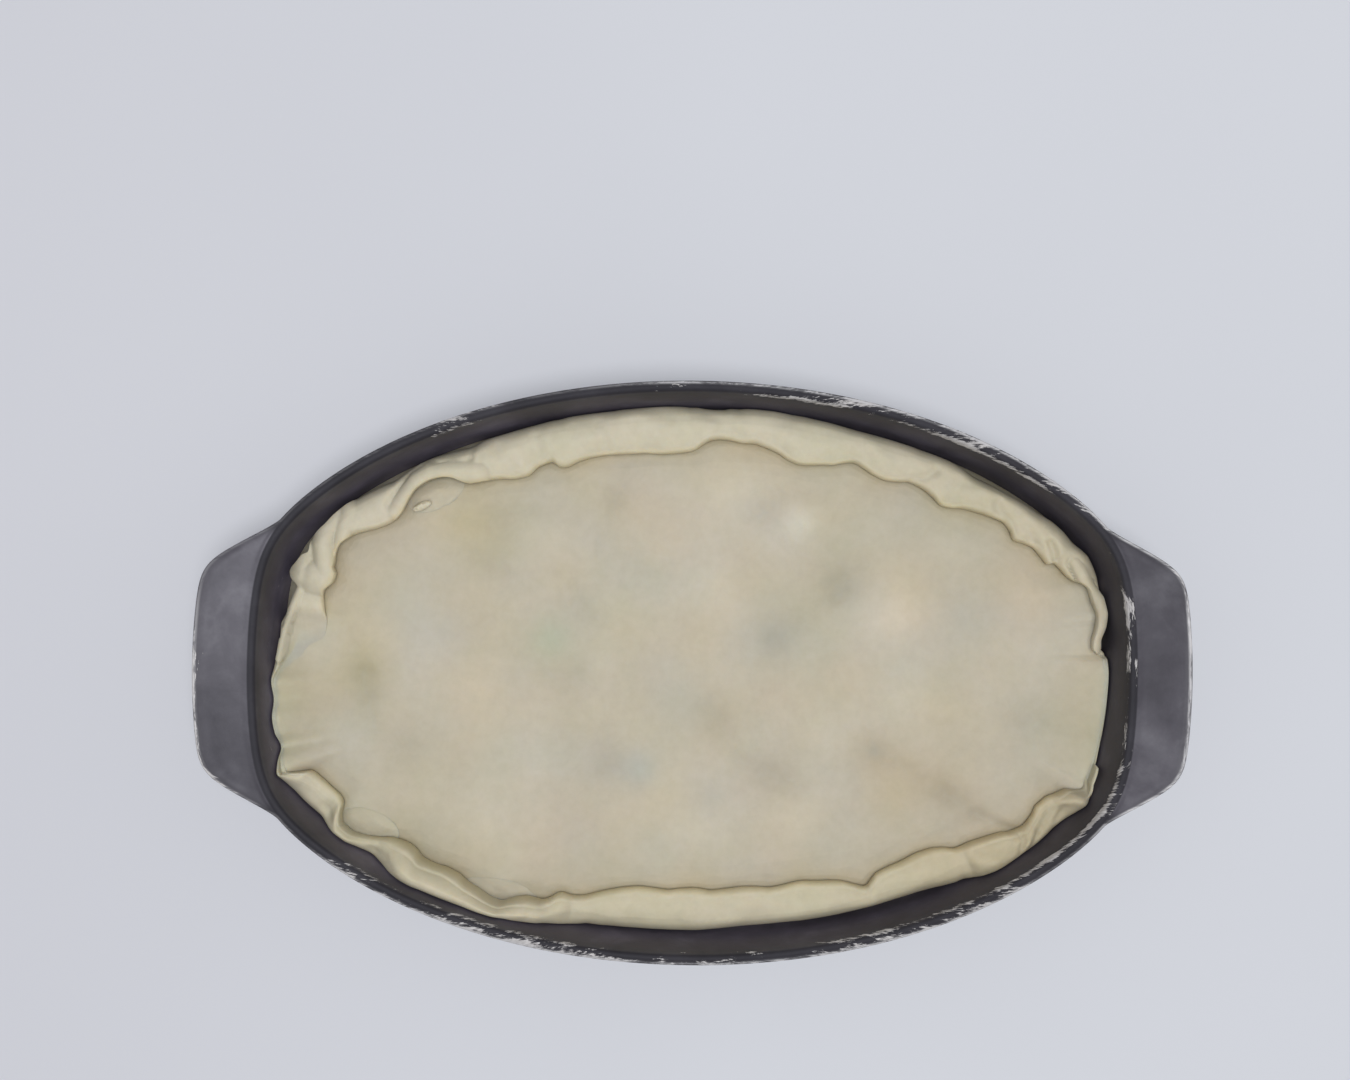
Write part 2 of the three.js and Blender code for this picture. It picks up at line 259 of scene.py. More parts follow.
# The rings of the dish where the handles' underside and the outer edge begin, at the outermost
# edge, where the handles meet the lip, and at the lip's inner edge.
UNDERSIDE_RING = OUTSIDE_CORNER_STEPS + len(OUTSIDE_HEIGHTS) + len(UNDER_LIP) + 2
EDGE_RING = UNDERSIDE_RING + UNDERSIDE_STEPS + 1
RIM_RING = EDGE_RING + 3
LIP_ROOT_RING = EDGE_RING + len(OUTER_EDGE) + len(TOP_INSETS) + TOP_STEPS - 1
LIP_INNER_RING = LIP_ROOT_RING + 6

# The chips' pattern is laid round a circle of this radius in metres, so that they come out long
# and thin along the lip.
CHIP_RUN = 0.032

# How far chips reach in from the outermost edge, how many there are beside the handles, on the
# flat and on the wall, and how far down the wall they end.
CHIP_REACH = 1.7
LIP_CHIPS = 0.75
STRAY_CHIPS = 0.06
WALL_CHIPS, CHIPS_END = 0.05, 50
PALE_LINE_PLACE, PALE_LINE_WIDTH = 1.1, 0.5

# How much dust and painted sheen lighten the coating: outside, on the wall at the near and the far
# side and at the left and the right end, and on each handle at its near and its far corner. On the
# wall it is painted sheen, a painted reflection of the windows; on the handles it is smudged dust
# with a painted reflection that makes the left handle the lighter. It is less at a handle's very
# edge, and grows down the wall from DEEP_START to DEEP_END under the lip, as painted light against
# the shade deep in the dish.
OUTSIDE_DUST_AND_SHEEN = 0.12
SIDE_WALL_SHEEN = (0.46, 0.27)
END_WALL_SHEEN = (0.44, 0.10)
LEFT_DUST_AND_SHEEN = (0.46, 1.0)
RIGHT_DUST_AND_SHEEN = (0.82, 0.50)
HANDLE_NEAR, HANDLE_FAR = -70, 50
CLEAR_EDGE, CLEAR_EDGE_WIDTH = 0.45, 3
DEEP_PAINTED_LIGHT = (0.6, 1.9)
DEEP_START, DEEP_END = 3, 22

# Degrees round the dish, and how clearly a line of bare metal runs along the outer edge.
PALE_LINE = [
    (0, .9), (12, .5), (17, .9), (30, 1), (60, 1), (95, .9), (104, .4), (120, .25), (150, .2),
    (168, .15), (175, .35), (187, .4), (196, .2), (205, .35), (215, .55), (300, .55), (330, .45),
    (345, .8),
]

# Degrees, and how much of the coating has gone along the outer and along the lip's inner edge.
RUBBED = [
    (0, .5, .5), (2, .55, .75), (5, .6, .5), (9, .7, .75), (12, .75, .3), (16, .45, .2),
    (25, .9, .4), (33, .7, .7), (48, .75, .7), (55, .7, .35), (64, .72, .7), (76, .6, .6),
    (85, .5, .15), (100, .3, .1), (112, .1, .05), (128, .45, .2), (133, .75, .6), (137, .7, .7),
    (141, .3, .2), (150, .3, .1),
    (164, .1, .05), (172, .2, .05), (176, .55, .05), (179, .75, .1), (193, .8, .05),
    (198, .25, .05), (205, .4, .3), (215, .85, .5), (230, .95, .6), (245, .85, .5),
    (262, .65, .3), (275, .7, .35), (290, .55, .3), (302, .8, .5), (316, .9, .5), (327, .75, .7),
    (333, .4, .8), (341, .4, .85), (346, .65, .65), (355, .5, .6),
]


def dust_and_sheen_at(ring, place, angle, inset, has_plate):
    """How much dust and painted sheen lighten the coating at a place, which lies inset from the
    outermost edge.
    """
    left = place.x < 0
    if ring > LIP_INNER_RING:
        depth = ease(DISH_HEIGHT - place.z, DEEP_START, DEEP_END)
        sides = SIDE_WALL_SHEEN[place.y > 0] * abs(math.sin(angle))
        ends = END_WALL_SHEEN[not left] * abs(math.cos(angle))
        return mix(*DEEP_PAINTED_LIGHT, depth) * (sides + ends)
    if ring > LIP_ROOT_RING:
        return 0
    if ring < UNDERSIDE_RING:
        return OUTSIDE_DUST_AND_SHEEN
    along = ease(place.y, HANDLE_NEAR, HANDLE_FAR)
    clear_edge = CLEAR_EDGE * math.exp(-(inset / CLEAR_EDGE_WIDTH) ** 2)
    return has_plate * mix(*(LEFT_DUST_AND_SHEEN if left else RIGHT_DUST_AND_SHEEN), along) * (1 - clear_edge)


def dish_radius(angle):
    """One radius of the dish, from the middle of its underside, over the lip, to its floor."""
    edge = opening_edge(angle)
    degrees = math.degrees(angle)
    outer_rub = flow(RUBBED, 1, degrees)
    inner_rub = flow(RUBBED, 2, degrees)
    pale_line = flow(PALE_LINE, 1, degrees)
    lip_edge = spot(edge, -LIP_WIDTH, 0).xy
    handle_turn = math.atan2(lip_edge.y, abs(lip_edge.x))
    plate = 0.0
    if abs(handle_turn) < HANDLE_SPAN:
        plate = max(0.0, handle_radius(handle_turn) - lip_edge.length)
    outward = lip_edge.normalized()
    has_plate = ease(plate, HANDLE_START, HANDLE_FULL)

    def point(out, height):
        beyond = max(0.0, out - LIP_WIDTH)
        place = spot(edge, -min(out, LIP_WIDTH), height)
        return place + Vector((outward.x, outward.y, 0)) * beyond

    rows = [(spot(edge, MIDDLE, 0), 0)]
    for inward, height in base_corner(BASE_CORNER, OUTSIDE_CORNER_STEPS):
        rows.append((spot(edge, inward, height), 0))
    for height in OUTSIDE_HEIGHTS:
        rows.append((spot(edge, wall_inward(height) - WALL, height), 0))
    reach = LIP_WIDTH + plate
    for out, height in UNDER_LIP:
        rows.append((point(out, height), 0))
    for step in range(UNDERSIDE_STEPS + 1):
        out = mix(LIP_FOOT, reach - UNDER_EDGE, step / UNDERSIDE_STEPS)
        rows.append((point(out, HANDLE_UNDERSIDE), 0))
    bead = BEAD_RISE * has_plate
    for inset, height, rub in OUTER_EDGE:
        rows.append((point(reach - inset, height + bead), outer_rub * rub))
    foot = mix(*FOOT_HEIGHTS, has_plate)
    outs = [max(LIP_FOOT, reach - inset) for inset in TOP_INSETS]
    outs += [mix(outs[-1], LIP_FOOT, step / TOP_STEPS) for step in range(1, TOP_STEPS + 1)]
    for out in outs:
        from_lip = out - LIP_FOOT
        inset = reach - out
        height = mix(PLAIN_TOP, HANDLE_TOP, has_plate)
        height += (foot - height) * math.exp(-(from_lip / FOOT_WIDTH) ** 2)
        height += bead * math.exp(-((inset - BEAD_PLACE) / BEAD_WIDTH) ** 2)
        dip = DIP_DEPTH * has_plate * math.exp(-((inset - DIP_PLACE) / DIP_WIDTH) ** 2)
        height -= dip * ease(plate, DIP_START, DIP_FULL)
        rub = mix(LIP_CHIPS, 1, has_plate) * math.exp(-(inset / CHIP_REACH) ** 2) + STRAY_CHIPS
        rows.append((point(out, height), outer_rub * rub))
    crown_rub = mix(outer_rub, inner_rub, has_plate)
    for out, height, rub in LIP_CROWN:
        rows.append((point(out, height), (inner_rub if out < INNER_EDGE else crown_rub) * rub))
    for height in INSIDE_HEIGHTS:
        rows.append((spot(edge, wall_inward(height), height), WALL_CHIPS * (height > CHIPS_END)))
    for inward, height in reversed(base_corner(BASE_CORNER - WALL, INSIDE_CORNER_STEPS)):
        rows.append((spot(edge, inward, height), 0))
    rows.append((spot(edge, MIDDLE, FLOOR), 0))

    marked = []
    across = 0.0
    run = Vector((math.cos(angle), math.sin(angle), 0)) * CHIP_RUN
    for ring, (place, rub) in enumerate(rows):
        if ring:
            across += (place - rows[ring - 1][0]).length
        line = 0.0
        if ring >= EDGE_RING:
            from_rim = (place - rows[RIM_RING][0]).length
            line = pale_line * math.exp(-((from_rim - PALE_LINE_PLACE) / PALE_LINE_WIDTH) ** 2)
        # The third mark is how much dust and painted sheen lighten the coating.
        dust_and_sheen = dust_and_sheen_at(ring, place, angle, reach - (place.xy - edge[0]).length, has_plate)
        marked.append((place, Vector((rub, line, dust_and_sheen)), Vector((run.x, run.y, across * MM))))
    return marked


def add_node(material, kind, **settings):
    """Adds a node to a material. A setting named after an input sets it or links to it."""
    node = material.node_tree.nodes.new(kind)
    for name, value in settings.items():
        if hasattr(node, name) and name not in node.inputs:
            setattr(node, name, value)
            continue
        socket = node.inputs[int(name[1:])] if name[0] == "i" and name[1:].isdigit() \
            else node.inputs[name.replace("_", " ")]
        if isinstance(value, bpy.types.NodeSocket):
            material.node_tree.links.new(value, socket)
        else:
            socket.default_value = value
    return node


def new_material(name):
    material = bpy.data.materials.new(name)
    material.use_nodes = True
    shader = material.node_tree.nodes["Principled BSDF"]
    return material, shader


def ramp(material, value, stops):
    """A colour or grey ramp through the stops (place, colour)."""
    node = add_node(material, "ShaderNodeValToRGB")
    elements = node.color_ramp.elements
    while len(elements) < len(stops):
        elements.new(0.5)
    for element, (place, colour) in zip(elements, stops):
        element.position = place
        element.color = (*colour, 1) if isinstance(colour, tuple) else (colour, colour, colour, 1)
    material.node_tree.links.new(value, node.inputs["Fac"])
    return node.outputs["Color"]


def blend(material, below, above, share=1.0, kind="MIX"):
    """Lays one colour over another, in some share."""
    node = add_node(material, "ShaderNodeMix", data_type="RGBA", blend_type=kind, i0=share)
    for socket, colour in ((node.inputs[6], below), (node.inputs[7], above)):
        if isinstance(colour, tuple):
            socket.default_value = (*colour, 1)
        else:
            material.node_tree.links.new(colour, socket)
    return node.outputs[2]


# The coating's colours where it is clean and where dust and painted sheen lighten it, the cooler
# tint below the lip with the heights in metres where it starts and is full, and the bare metal.
CLEAN_COAT = [(0.32, (0.018, 0.0165, 0.022)), (0.5, (0.025, 0.0230, 0.030)),
              (0.7, (0.040, 0.0375, 0.047))]
DUST_AND_SHEEN_COAT = [(0.3, (0.070, 0.065, 0.080)), (0.5, (0.112, 0.105, 0.126)),
             (0.72, (0.195, 0.188, 0.214))]
COOL_WALL = [(0.0, (1.0, 1.0, 1.0)), (1.0, (1.03, 0.975, 1.17))]
WALL_FROM, WALL_TO = 0.0595, 0.056
BARE_METAL = [(0.35, (0.34, 0.32, 0.32)), (0.65, (0.66, 0.64, 0.64))]
RUBBED_METAL = (0.72, 0.71, 0.73)

# How much the rubbing counts against the noise, and where the coating begins to go and is gone.
CHIP_STRENGTH = 0.66
CHIP_START, CHIP_FULL = 1.33, 1.40


def dark_coating():
    """The dish's coating: lightened in places by dust and painted sheen, and chipped to the bare metal
    along the edges.
    """
    material, shader = new_material("dark_coating")
    link = material.node_tree.links.new
    place = add_node(material, "ShaderNodeTexCoord").outputs["Object"]
    marks = add_node(material, "ShaderNodeAttribute", attribute_name="wear_dust_and_sheen")
    run = add_node(material, "ShaderNodeAttribute", attribute_name="along_edge").outputs["Vector"]
    wear_dust_and_sheen = add_node(material, "ShaderNodeSeparateXYZ", Vector=marks.outputs["Vector"])
    chips = add_node(material, "ShaderNodeTexNoise", Vector=run, Scale=1450.0, Detail=6.0,
                     Roughness=0.7).outputs["Fac"]
    patches = add_node(material, "ShaderNodeTexNoise", Vector=run, Scale=260.0, Detail=2.0,
                       Roughness=0.5).outputs["Fac"]
    smudge = add_node(material, "ShaderNodeTexNoise", Vector=place, Scale=34.0, Detail=5.0,
                      Roughness=0.62, Distortion=0.25).outputs["Fac"]
    clouds = add_node(material, "ShaderNodeTexNoise", Vector=place, Scale=7.0, Detail=2.0)
    grain = add_node(material, "ShaderNodeTexNoise", Vector=place, Scale=700.0, Detail=3.0)

    # Dust and painted sheen, the attribute's third mark, lighten the clean coating.
    coat = blend(material, ramp(material, smudge, CLEAN_COAT), ramp(material, smudge, DUST_AND_SHEEN_COAT),
                 wear_dust_and_sheen.outputs["Z"])
    up = add_node(material, "ShaderNodeSeparateXYZ", Vector=place).outputs["Z"]
    on_wall = add_node(material, "ShaderNodeMapRange", Value=up, From_Min=WALL_FROM,
                       From_Max=WALL_TO).outputs["Result"]
    coat = blend(material, coat, ramp(material, on_wall, COOL_WALL), kind="MULTIPLY")

    both = add_node(material, "ShaderNodeMath", operation="MULTIPLY_ADD", i0=patches, i1=0.9,
                    i2=chips).outputs[0]
    gone = add_node(material, "ShaderNodeMath", operation="MULTIPLY_ADD", i0=wear_dust_and_sheen.outputs["X"],
                    i1=CHIP_STRENGTH, i2=both).outputs[0]
    chipped = add_node(material, "ShaderNodeMapRange", Value=gone, From_Min=CHIP_START,
                       From_Max=CHIP_FULL).outputs["Result"]
    colour = blend(material, coat, ramp(material, chips, BARE_METAL), chipped)
    broken = add_node(material, "ShaderNodeMapRange", Value=both, From_Min=0.82, From_Max=0.98,
                      To_Min=0.25).outputs["Result"]
    line = add_node(material, "ShaderNodeMath", operation="MULTIPLY", i0=wear_dust_and_sheen.outputs["Y"],
                    i1=broken).outputs[0]
    link(blend(material, colour, RUBBED_METAL, line), shader.inputs["Base Color"])

    matt = add_node(material, "ShaderNodeMapRange", Value=wear_dust_and_sheen.outputs["Z"], To_Min=0.54,
                    To_Max=0.36).outputs["Result"]
    rough = add_node(material, "ShaderNodeMath", operation="MULTIPLY_ADD",
                     i0=clouds.outputs["Fac"], i1=0.16, i2=matt)
    link(rough.outputs[0], shader.inputs["Roughness"])
    depth = add_node(material, "ShaderNodeMath", operation="MULTIPLY_ADD", i0=chipped, i1=-1.5,
                     i2=grain.outputs["Fac"])
    bump = add_node(material, "ShaderNodeBump", Strength=0.25, Distance=0.0002,
                    Height=depth.outputs[0])
    link(bump.outputs["Normal"], shader.inputs["Normal"])
    return material


dish_disc = turned_disc(len(dish_radius(0)), DISH_TURNS)
carry(dish_disc, DISH_TURNS, dish_radius, ("wear_dust_and_sheen", "along_edge"))
dish_around = BVHTree.FromBMesh(dish_disc)
finish_piece(dish_disc, "dish_casting", dark_coating(), "dish")

# ------------------------------------------------------------------ the filled crust
# The lower sheet of pastry lines the dish and holds the filling. Its free edge is turned in over
# the lid by hand along the long sides, in uneven laps; at the ends it only stands at the wall.

# The clearance between pieces, the pastry's thickness, the lid's height, and how far down the gap
# between the pastry and the wall reaches.
GAP = 0.3
PASTRY = 3
LID_LEVEL = 35
GAP_LEVEL = 29
GAP_CORNER = 0.4
CRUST_TURNS = 1440
CRUST_CORNER_STEPS = 3

# Widths at which the turned edge counts as thin and as a full fold.
THIN_EDGE, FULL_FOLD = 3, 10

# The edge's outer side drops by EDGE_FALL for each millimetre that it stands further in, because
# the wall behind it slopes. Its crest rises a little over that side.
HIGHEST_STAND = 1
EDGE_FALL = 8
LOWEST_EDGE, HIGHEST_EDGE = 37, 55
STEEP_FROM, STEEP_TO = 42, 52
THIN_CREST, FULL_CREST = 0.2, 1

# Degrees between which the pastry only stands at the wall, fading over END_BLEND past each end.
# There the lid climbs up to the edge, until THIN_REACH in from the opening.
THIN_ENDS = ((-18, 13), (174.5, 199))
END_BLEND = (-9, 1)
THIN_REACH = 6
CLIMB_POWER = 1.5

# Where the turned edge hardly lifts off the lid, it is pressed flush with it. It stands just over
# the lid, sinks as little under it on its inner half, and its tip sinks further.
FLUSH_LIFT, FREE_LIFT = 0.35, 1.5
PROUD_LIFT = (0.5, 2.5)
FLUSH_RISE, FLUSH_SINK = 0.08, 0.3
FLUSH_BLEND = (0.2, 0.45)
INNER_HALF = (0.5, 1)

# Where the lid's own edge lies, from the turned edge's outer side (0) to its inner side (1).
LID_EDGE_PLACE, FLUSH_LID_PLACE = 0.7, 0.3

# The steps across the turned edge: its round shoulder, its top, its round nose and the tuck under
# it. The first two steps are the gap between the pastry and the wall.
SHOULDER_STEPS, CREST_STEPS, NOSE_STEPS, TUCK_STEPS = 7, 16, 8, 4
SHOULDER_START = 2
CREST_START = SHOULDER_START + SHOULDER_STEPS
NOSE_START = CREST_START + CREST_STEPS
TIP_START = NOSE_START + NOSE_STEPS

# The shoulder's width and height, and the nose's and the tuck's. The nose grows with the lift.
SHOULDER, SHOULDER_SHARE, SHOULDER_DROP = 4.6, 0.32, 2
NOSE_ROUND, LEAST_NOSE, NOSE_SHARE = 0.7, 0.8, 0.3
NOSE_LIFT, NOSE_RISE, TIP_LIFT = 0.9, 0.6, 0.42
TUCK, TUCK_RISE = (0.1, 0.6), 0.15

# The crest lies near the middle of a gentle edge and near the outside of a steep one. It rises
# from the outside in an arch, and falls to the nose.
CREST_PLACE = (0.4, 0.12)
CREST_OVER_LID = 2.5
BROW = 0.72
FALL_CURVE, FULL_FALL = 0.9, 0.684
LEAST_RELIEF = 0.15

# Degrees round the dish, the pastry's outer edge and its inner edge, in from the opening.
TURNED_EDGE = [
    (0, 3.5, 6.3), (2, 3.7, 6.4), (2.9, 5, 9), (3.6, 7.1, 10.6), (4.6, 7.3, 10.4), (6, 5.5, 9),
    (7, 4, 8.3), (8.2, 3.7, 8), (10, 4, 9), (12, 4.4, 9.6), (13.2, 4.5, 12), (14, 4.4, 15),
    (16, 4.2, 17.3), (18, 5.3, 18), (19.2, 6.2, 18.5), (20, 6.5, 21), (22, 6, 20.5),
    (23.5, 6, 20), (25, 6.5, 21), (26.5, 7, 22.5), (28, 7, 20), (29.5, 7.2, 18.8),
    (31, 7.5, 19.5), (33, 7.6, 20.5), (36, 8, 22.5), (37.5, 7.4, 24.2), (39, 6.5, 25),
    (41, 6, 23), (43, 6, 21.5), (45.5, 6.2, 20.8), (47, 6, 22), (49.8, 6, 23.3), (52, 6, 22.5),
    (54, 6, 21), (56, 6, 19.8), (58, 5.8, 21), (60, 5.5, 22.8), (62, 5.2, 23.5), (64, 5, 24.5),
    (66.5, 4.7, 25.1), (69, 4.2, 24), (71, 4, 22), (74, 3.8, 20), (77, 3.8, 18.8),
    (79, 3.9, 19), (82, 4.5, 18.2), (84, 5.2, 18), (86, 5.3, 18.5), (88, 5, 20.5),
    (90, 4.3, 23), (93, 3.9, 24), (97, 3.8, 24.3), (101, 3.9, 23.6), (105, 4, 23.4),
    (110, 4.3, 23), (112, 4.3, 23.2), (115, 4.5, 24), (118, 5, 25.6), (119.3, 5, 25),
    (120.7, 5.2, 22.4), (123, 5.5, 23), (126, 5.8, 26), (128, 6, 25.8), (131, 6.2, 24),
    (134, 7.5, 22.8), (136, 7, 22), (137, 6.8, 20.5), (138.5, 6.4, 17), (140, 6, 15.1),
    (142, 6, 14.3), (144, 6.8, 15), (145.5, 7.6, 17), (147, 8, 19.8), (148, 7.5, 21.5),
    (150, 7, 22.8), (152, 6.5, 22), (154, 6, 20), (156, 6.3, 18), (158, 7, 17.3),
    (159.5, 7, 18.5), (161, 7.8, 20.8), (162.5, 9.5, 22), (163.5, 8, 24), (165, 7, 24.5),
    (166.5, 5.5, 24.3), (167.5, 6.5, 23), (168.5, 10, 21.6), (169.3, 9.8, 21.5),
    (170.5, 8.8, 22.1), (172, 7.5, 23), (173.3, 5.8, 24), (174.2, 4.7, 24), (175.2, 4.5, 23.6),
    (176.3, 4.2, 22.5), (178, 3.8, 19), (180, 3.4, 11), (182, 2.9, 5.8), (184.5, 3.2, 6.3),
    (187, 2.8, 5.4), (189, 3, 5.6), (191, 3.7, 6.2), (193, 2.7, 5.2), (194.6, 2.1, 5),
    (195.4, 2.5, 8.5), (196.3, 2.9, 13.6), (198, 3.4, 15), (200, 3.6, 15.7), (202.5, 3.8, 16),
    (203.8, 3.4, 14.6), (204.6, 3.1, 10.5), (205.6, 2.9, 7.4), (207, 2.9, 7), (209, 3.3, 8.7),
    (211, 3.6, 11.5), (212.6, 3.2, 14), (215, 2.3, 15.1), (216.5, 2, 14.2), (218, 1.9, 12.2),
    (220, 2, 12), (222, 2, 12.5), (224, 2, 12), (226, 2, 10), (228, 1.9, 8.8),
    (229.5, 1.8, 7.6), (231, 1.8, 6.8), (232, 1.9, 6.6), (233.5, 2.1, 8.3), (235, 2.2, 10.3),
    (237, 2.4, 11.5), (239, 2.6, 11.3), (240.5, 2.9, 12.6), (242, 3.1, 15.3), (243, 3.2, 16),
    (245, 3.5, 15.5), (247, 3.8, 16.1), (248.5, 4.1, 17.2), (250, 4.3, 18.5), (253, 4.8, 20.5),
    (256, 4.9, 22), (259, 5, 22.8), (262, 5, 22.5), (265, 5, 22), (268, 5, 22.7), (271, 5, 23),
    (275, 5.5, 22), (278, 5.9, 22.4), (282, 6.3, 22.9), (285, 6.3, 22.5), (288, 6.3, 21.7),
    (291, 6.2, 22.2), (294, 6, 22.8), (298, 6, 21.6), (300, 6, 21), (302, 6.1, 20),
    (304, 6.2, 18), (306.5, 6.3, 15.5), (307.5, 6.3, 17), (309, 6.4, 19.5), (311, 6.5, 20.5),
    (314, 6.5, 21.3), (317, 6, 22.3), (319, 5.2, 22), (321, 4.5, 20.5), (323, 3.8, 18),
    (325, 3.2, 17.8), (327, 3, 17), (330, 3.2, 15), (331, 3.3, 13.5), (333, 3.4, 12.5),
    (335, 3.6, 14), (336.5, 3.8, 16), (338, 3.7, 16), (340, 3.2, 14), (341.5, 2.8, 12),
    (342.3, 3, 9), (343.2, 3.2, 6.4), (345, 4.3, 7.2), (348, 4.3, 7), (352, 4, 6.6),
    (356, 3.7, 6.4),
]

# Degrees, and how thick the turned-in edge lies on the lid.
EDGE_LIFT = [
    (0, 0.3), (3.5, 2), (8, 1.4), (12, 2), (15, 4), (20, 4.5), (26.5, 3), (31, 5), (37.5, 3),
    (43, 4.5), (48.5, 3.2), (54, 3.6), (60, 2.8), (66, 2.6), (75, 4.2), (84, 5.5), (90.5, 3.6),
    (97, 2.6), (112, 2.6), (120.5, 6), (130, 3.3), (138.5, 4.6), (145, 4.8), (150, 3.6),
    (156, 5), (161, 5.4), (166, 5.6), (168.8, 5.8), (170, 3.4), (172, 2.1), (173, 1.2), (174.5, 0.8),
    (176.5, 0.5), (178.5, 0.2), (190, 0.3), (194.5, 0.6), (196.5, 5.5), (202, 6), (205, 5.4), (208, 4.6),
    (214, 4.8), (220, 3.4), (226, 4.6), (232, 5), (238, 5.4), (244, 4), (252, 4.2), (275, 4.3),
    (298, 4.2), (303, 3.4), (306.7, 5), (313, 4), (320, 4.2), (330, 3.8), (339, 3.8),
    (342.5, 1.2), (346, 0.3), (356, 0.3),
]

# Degrees, and the height of the turned edge's top where it lies low in the dish. It is lower
# where rolls of pastry are twisted over it.
EDGE_TOP = [
    (0, 43), (150, 43), (155, 42.2), (158, 40), (167.5, 39.5), (169.5, 40.2), (171.5, 40),
    (173, 38.2), (177, 38), (179, 42), (318, 43), (325, 42), (336, 41.6), (342, 43),
]

# The camera, as found from the photograph, in pixels and millimetres. PIXEL_SLOPE is how far one
# pixel reaches for each millimetre of distance.
PICTURE_CENTRE = (675, 540)
CAMERA_PLACE = (-7.64, 54.54, 912)
CAMERA_TURN = math.radians(0.57)
CAMERA_SENSOR, CAMERA_LENS = 36, 55.28
PIXEL_SLOPE = 0.41 / 850


def seen_at(pixel, height):
    """The place at some height that the camera sees at a pixel of the photograph."""
    right = (pixel[0] - PICTURE_CENTRE[0]) * PIXEL_SLOPE * (CAMERA_PLACE[2] - height)
    up = (PICTURE_CENTRE[1] - pixel[1]) * PIXEL_SLOPE * (CAMERA_PLACE[2] - height)
    return Vector((
        CAMERA_PLACE[0] + right * math.cos(CAMERA_TURN) - up * math.sin(CAMERA_TURN),
        CAMERA_PLACE[1] + right * math.sin(CAMERA_TURN) + up * math.cos(CAMERA_TURN)))


# Soft valleys in the turned edge, as lines in the photograph's pixels, with a width and a depth
# in millimetres. A negative depth is a ridge.
EDGE_VALLEYS = [
    ([(471.5, 448), (471, 458)], 1.4, 1.3),
    ([(430, 461), (412, 471), (403, 482), (397, 495), (390, 506)], 2.3, 1.7),
    ([(536, 436), (538, 450), (541, 463)], 3.2, 1.3),
    ([(700, 408), (716, 418), (735, 436)], 4.0, 1.3),
    ([(906, 482.5), (918, 479), (928, 476), (936, 471)], 1.9, 1.3),
    ([(998, 505), (1001, 515), (1006, 526)], 2.4, 1.7),
    ([(1026, 526), (1032, 537), (1036, 548)], 2.4, 1.5),
    ([(1051, 543), (1055, 553), (1057.5, 565)], 1.7, 2.4),
    ([(1072, 563), (1076, 574), (1080, 584)], 1.7, 2.4),
    ([(962, 482), (955, 492), (952, 502)], 3.0, 1.1),
    ([(862, 442), (868, 455), (874, 468)], 3.2, 0.9),
    ([(600, 424), (604, 438), (606, 450)], 3.0, 0.9),
    ([(500, 447), (508, 458), (512, 470)], 3.2, 1.0),
    ([(1019, 831), (1023, 840), (1020, 853)], 1.3, 1.5),
    ([(1038, 832), (1031, 847), (1027, 856)], 1.3, 1.3),
    ([(1050, 811), (1040, 829)], 2.2, 1.3),
    ([(1064, 807), (1057, 820)], 1.6, 1.1),
    ([(1060, 801), (1073, 800), (1081, 805)], 2.2, -0.9),
    ([(1028, 842), (1022, 857)], 1.4, -0.8),
    ([(980, 851), (1000, 851), (1012, 847)], 3.0, 1.1),
    ([(326, 807), (330, 816), (333, 824)], 2.6, 1.5),
    ([(341, 800), (340.5, 811), (338.5, 822), (352, 836)], 2.6, -1.0),
    ([(352, 837), (371.7, 842), (391.7, 840), (406, 845.8)], 2.6, -0.9),
    ([(373, 850), (385, 855), (392, 863)], 2.2, 1.1),
    ([(285, 772), (298, 773)], 1.7, 1.1),
    ([(562, 891), (566, 903)], 3.0, -0.6), ([(521, 897), (523, 908)], 3.0, -0.6),
    ([(540, 898), (548, 906)], 2.6, 0.8), ([(503, 900), (510, 912)], 3.0, 0.8),
]

# Rolls of pastry twisted on top of the turned edge: points along each in the photograph's
# pixels, with the height of its top and its radius there.
EDGE_ROLLS = [
    [(349, 511, 43.2, 5.2), (343.5, 524, 43.4, 4.4), (340, 541, 43.2, 3.6),
     (335.5, 558, 42.4, 3.0)],
    [(338, 515, 42.4, 4.8), (325, 530, 43.6, 4.8), (320.5, 545, 44.4, 4.8),
     (323, 560, 44.8, 5.2), (325, 573, 44.8, 7.0)],
    [(309, 548, 42.2, 4.4), (303, 561, 42.8, 5.4), (301.5, 573, 43.2, 6.6)],
    [(303, 574, 43.4, 7.4), (314, 576, 44.4, 9.6), (321, 577, 44.6, 9.2)],
    [(299.5, 590, 41, 2.0), (291.5, 608.5, 42.6, 1.9), (283.5, 632.5, 44, 1.7),
     (278, 660, 46, 1.5)],
    [(478, 470, 43.6, 6.4), (452, 470, 44.4, 5.4), (430, 472.5, 44.8, 4.6),
     (416.5, 481, 45, 4.3), (408, 492, 44.8, 4.3), (400, 503, 44, 4.4), (394, 511, 42.6, 4.2)],
    [(1077, 562, 43.2, 3.2), (1083, 572, 44.2, 3.4), (1090, 588, 44.6, 3.1),
     (1100, 601, 45, 2.8), (1104, 613, 45.6, 2.5), (1102, 626, 45.4, 2.4),
     (1097.5, 639, 44.6, 2.3), (1096.5, 650, 43.4, 2.4)],
    [(1095, 770, 45, 2.0), (1093, 790, 44.6, 2.2), (1090.5, 803, 44, 2.3),
     (1082, 812, 42.6, 2.4)],
]


def line_offsets(place, start, end):
    """How far a place lies along a line (0 to 1), past its ends and to its left."""
    along = end - start
    length = along.length
    share = (place - start).dot(along) / (length * length)
    left = (along.x * (place.y - start.y) - along.y * (place.x - start.x)) / length
    past = max(-share, share - 1, 0) * length
    return share, past, left


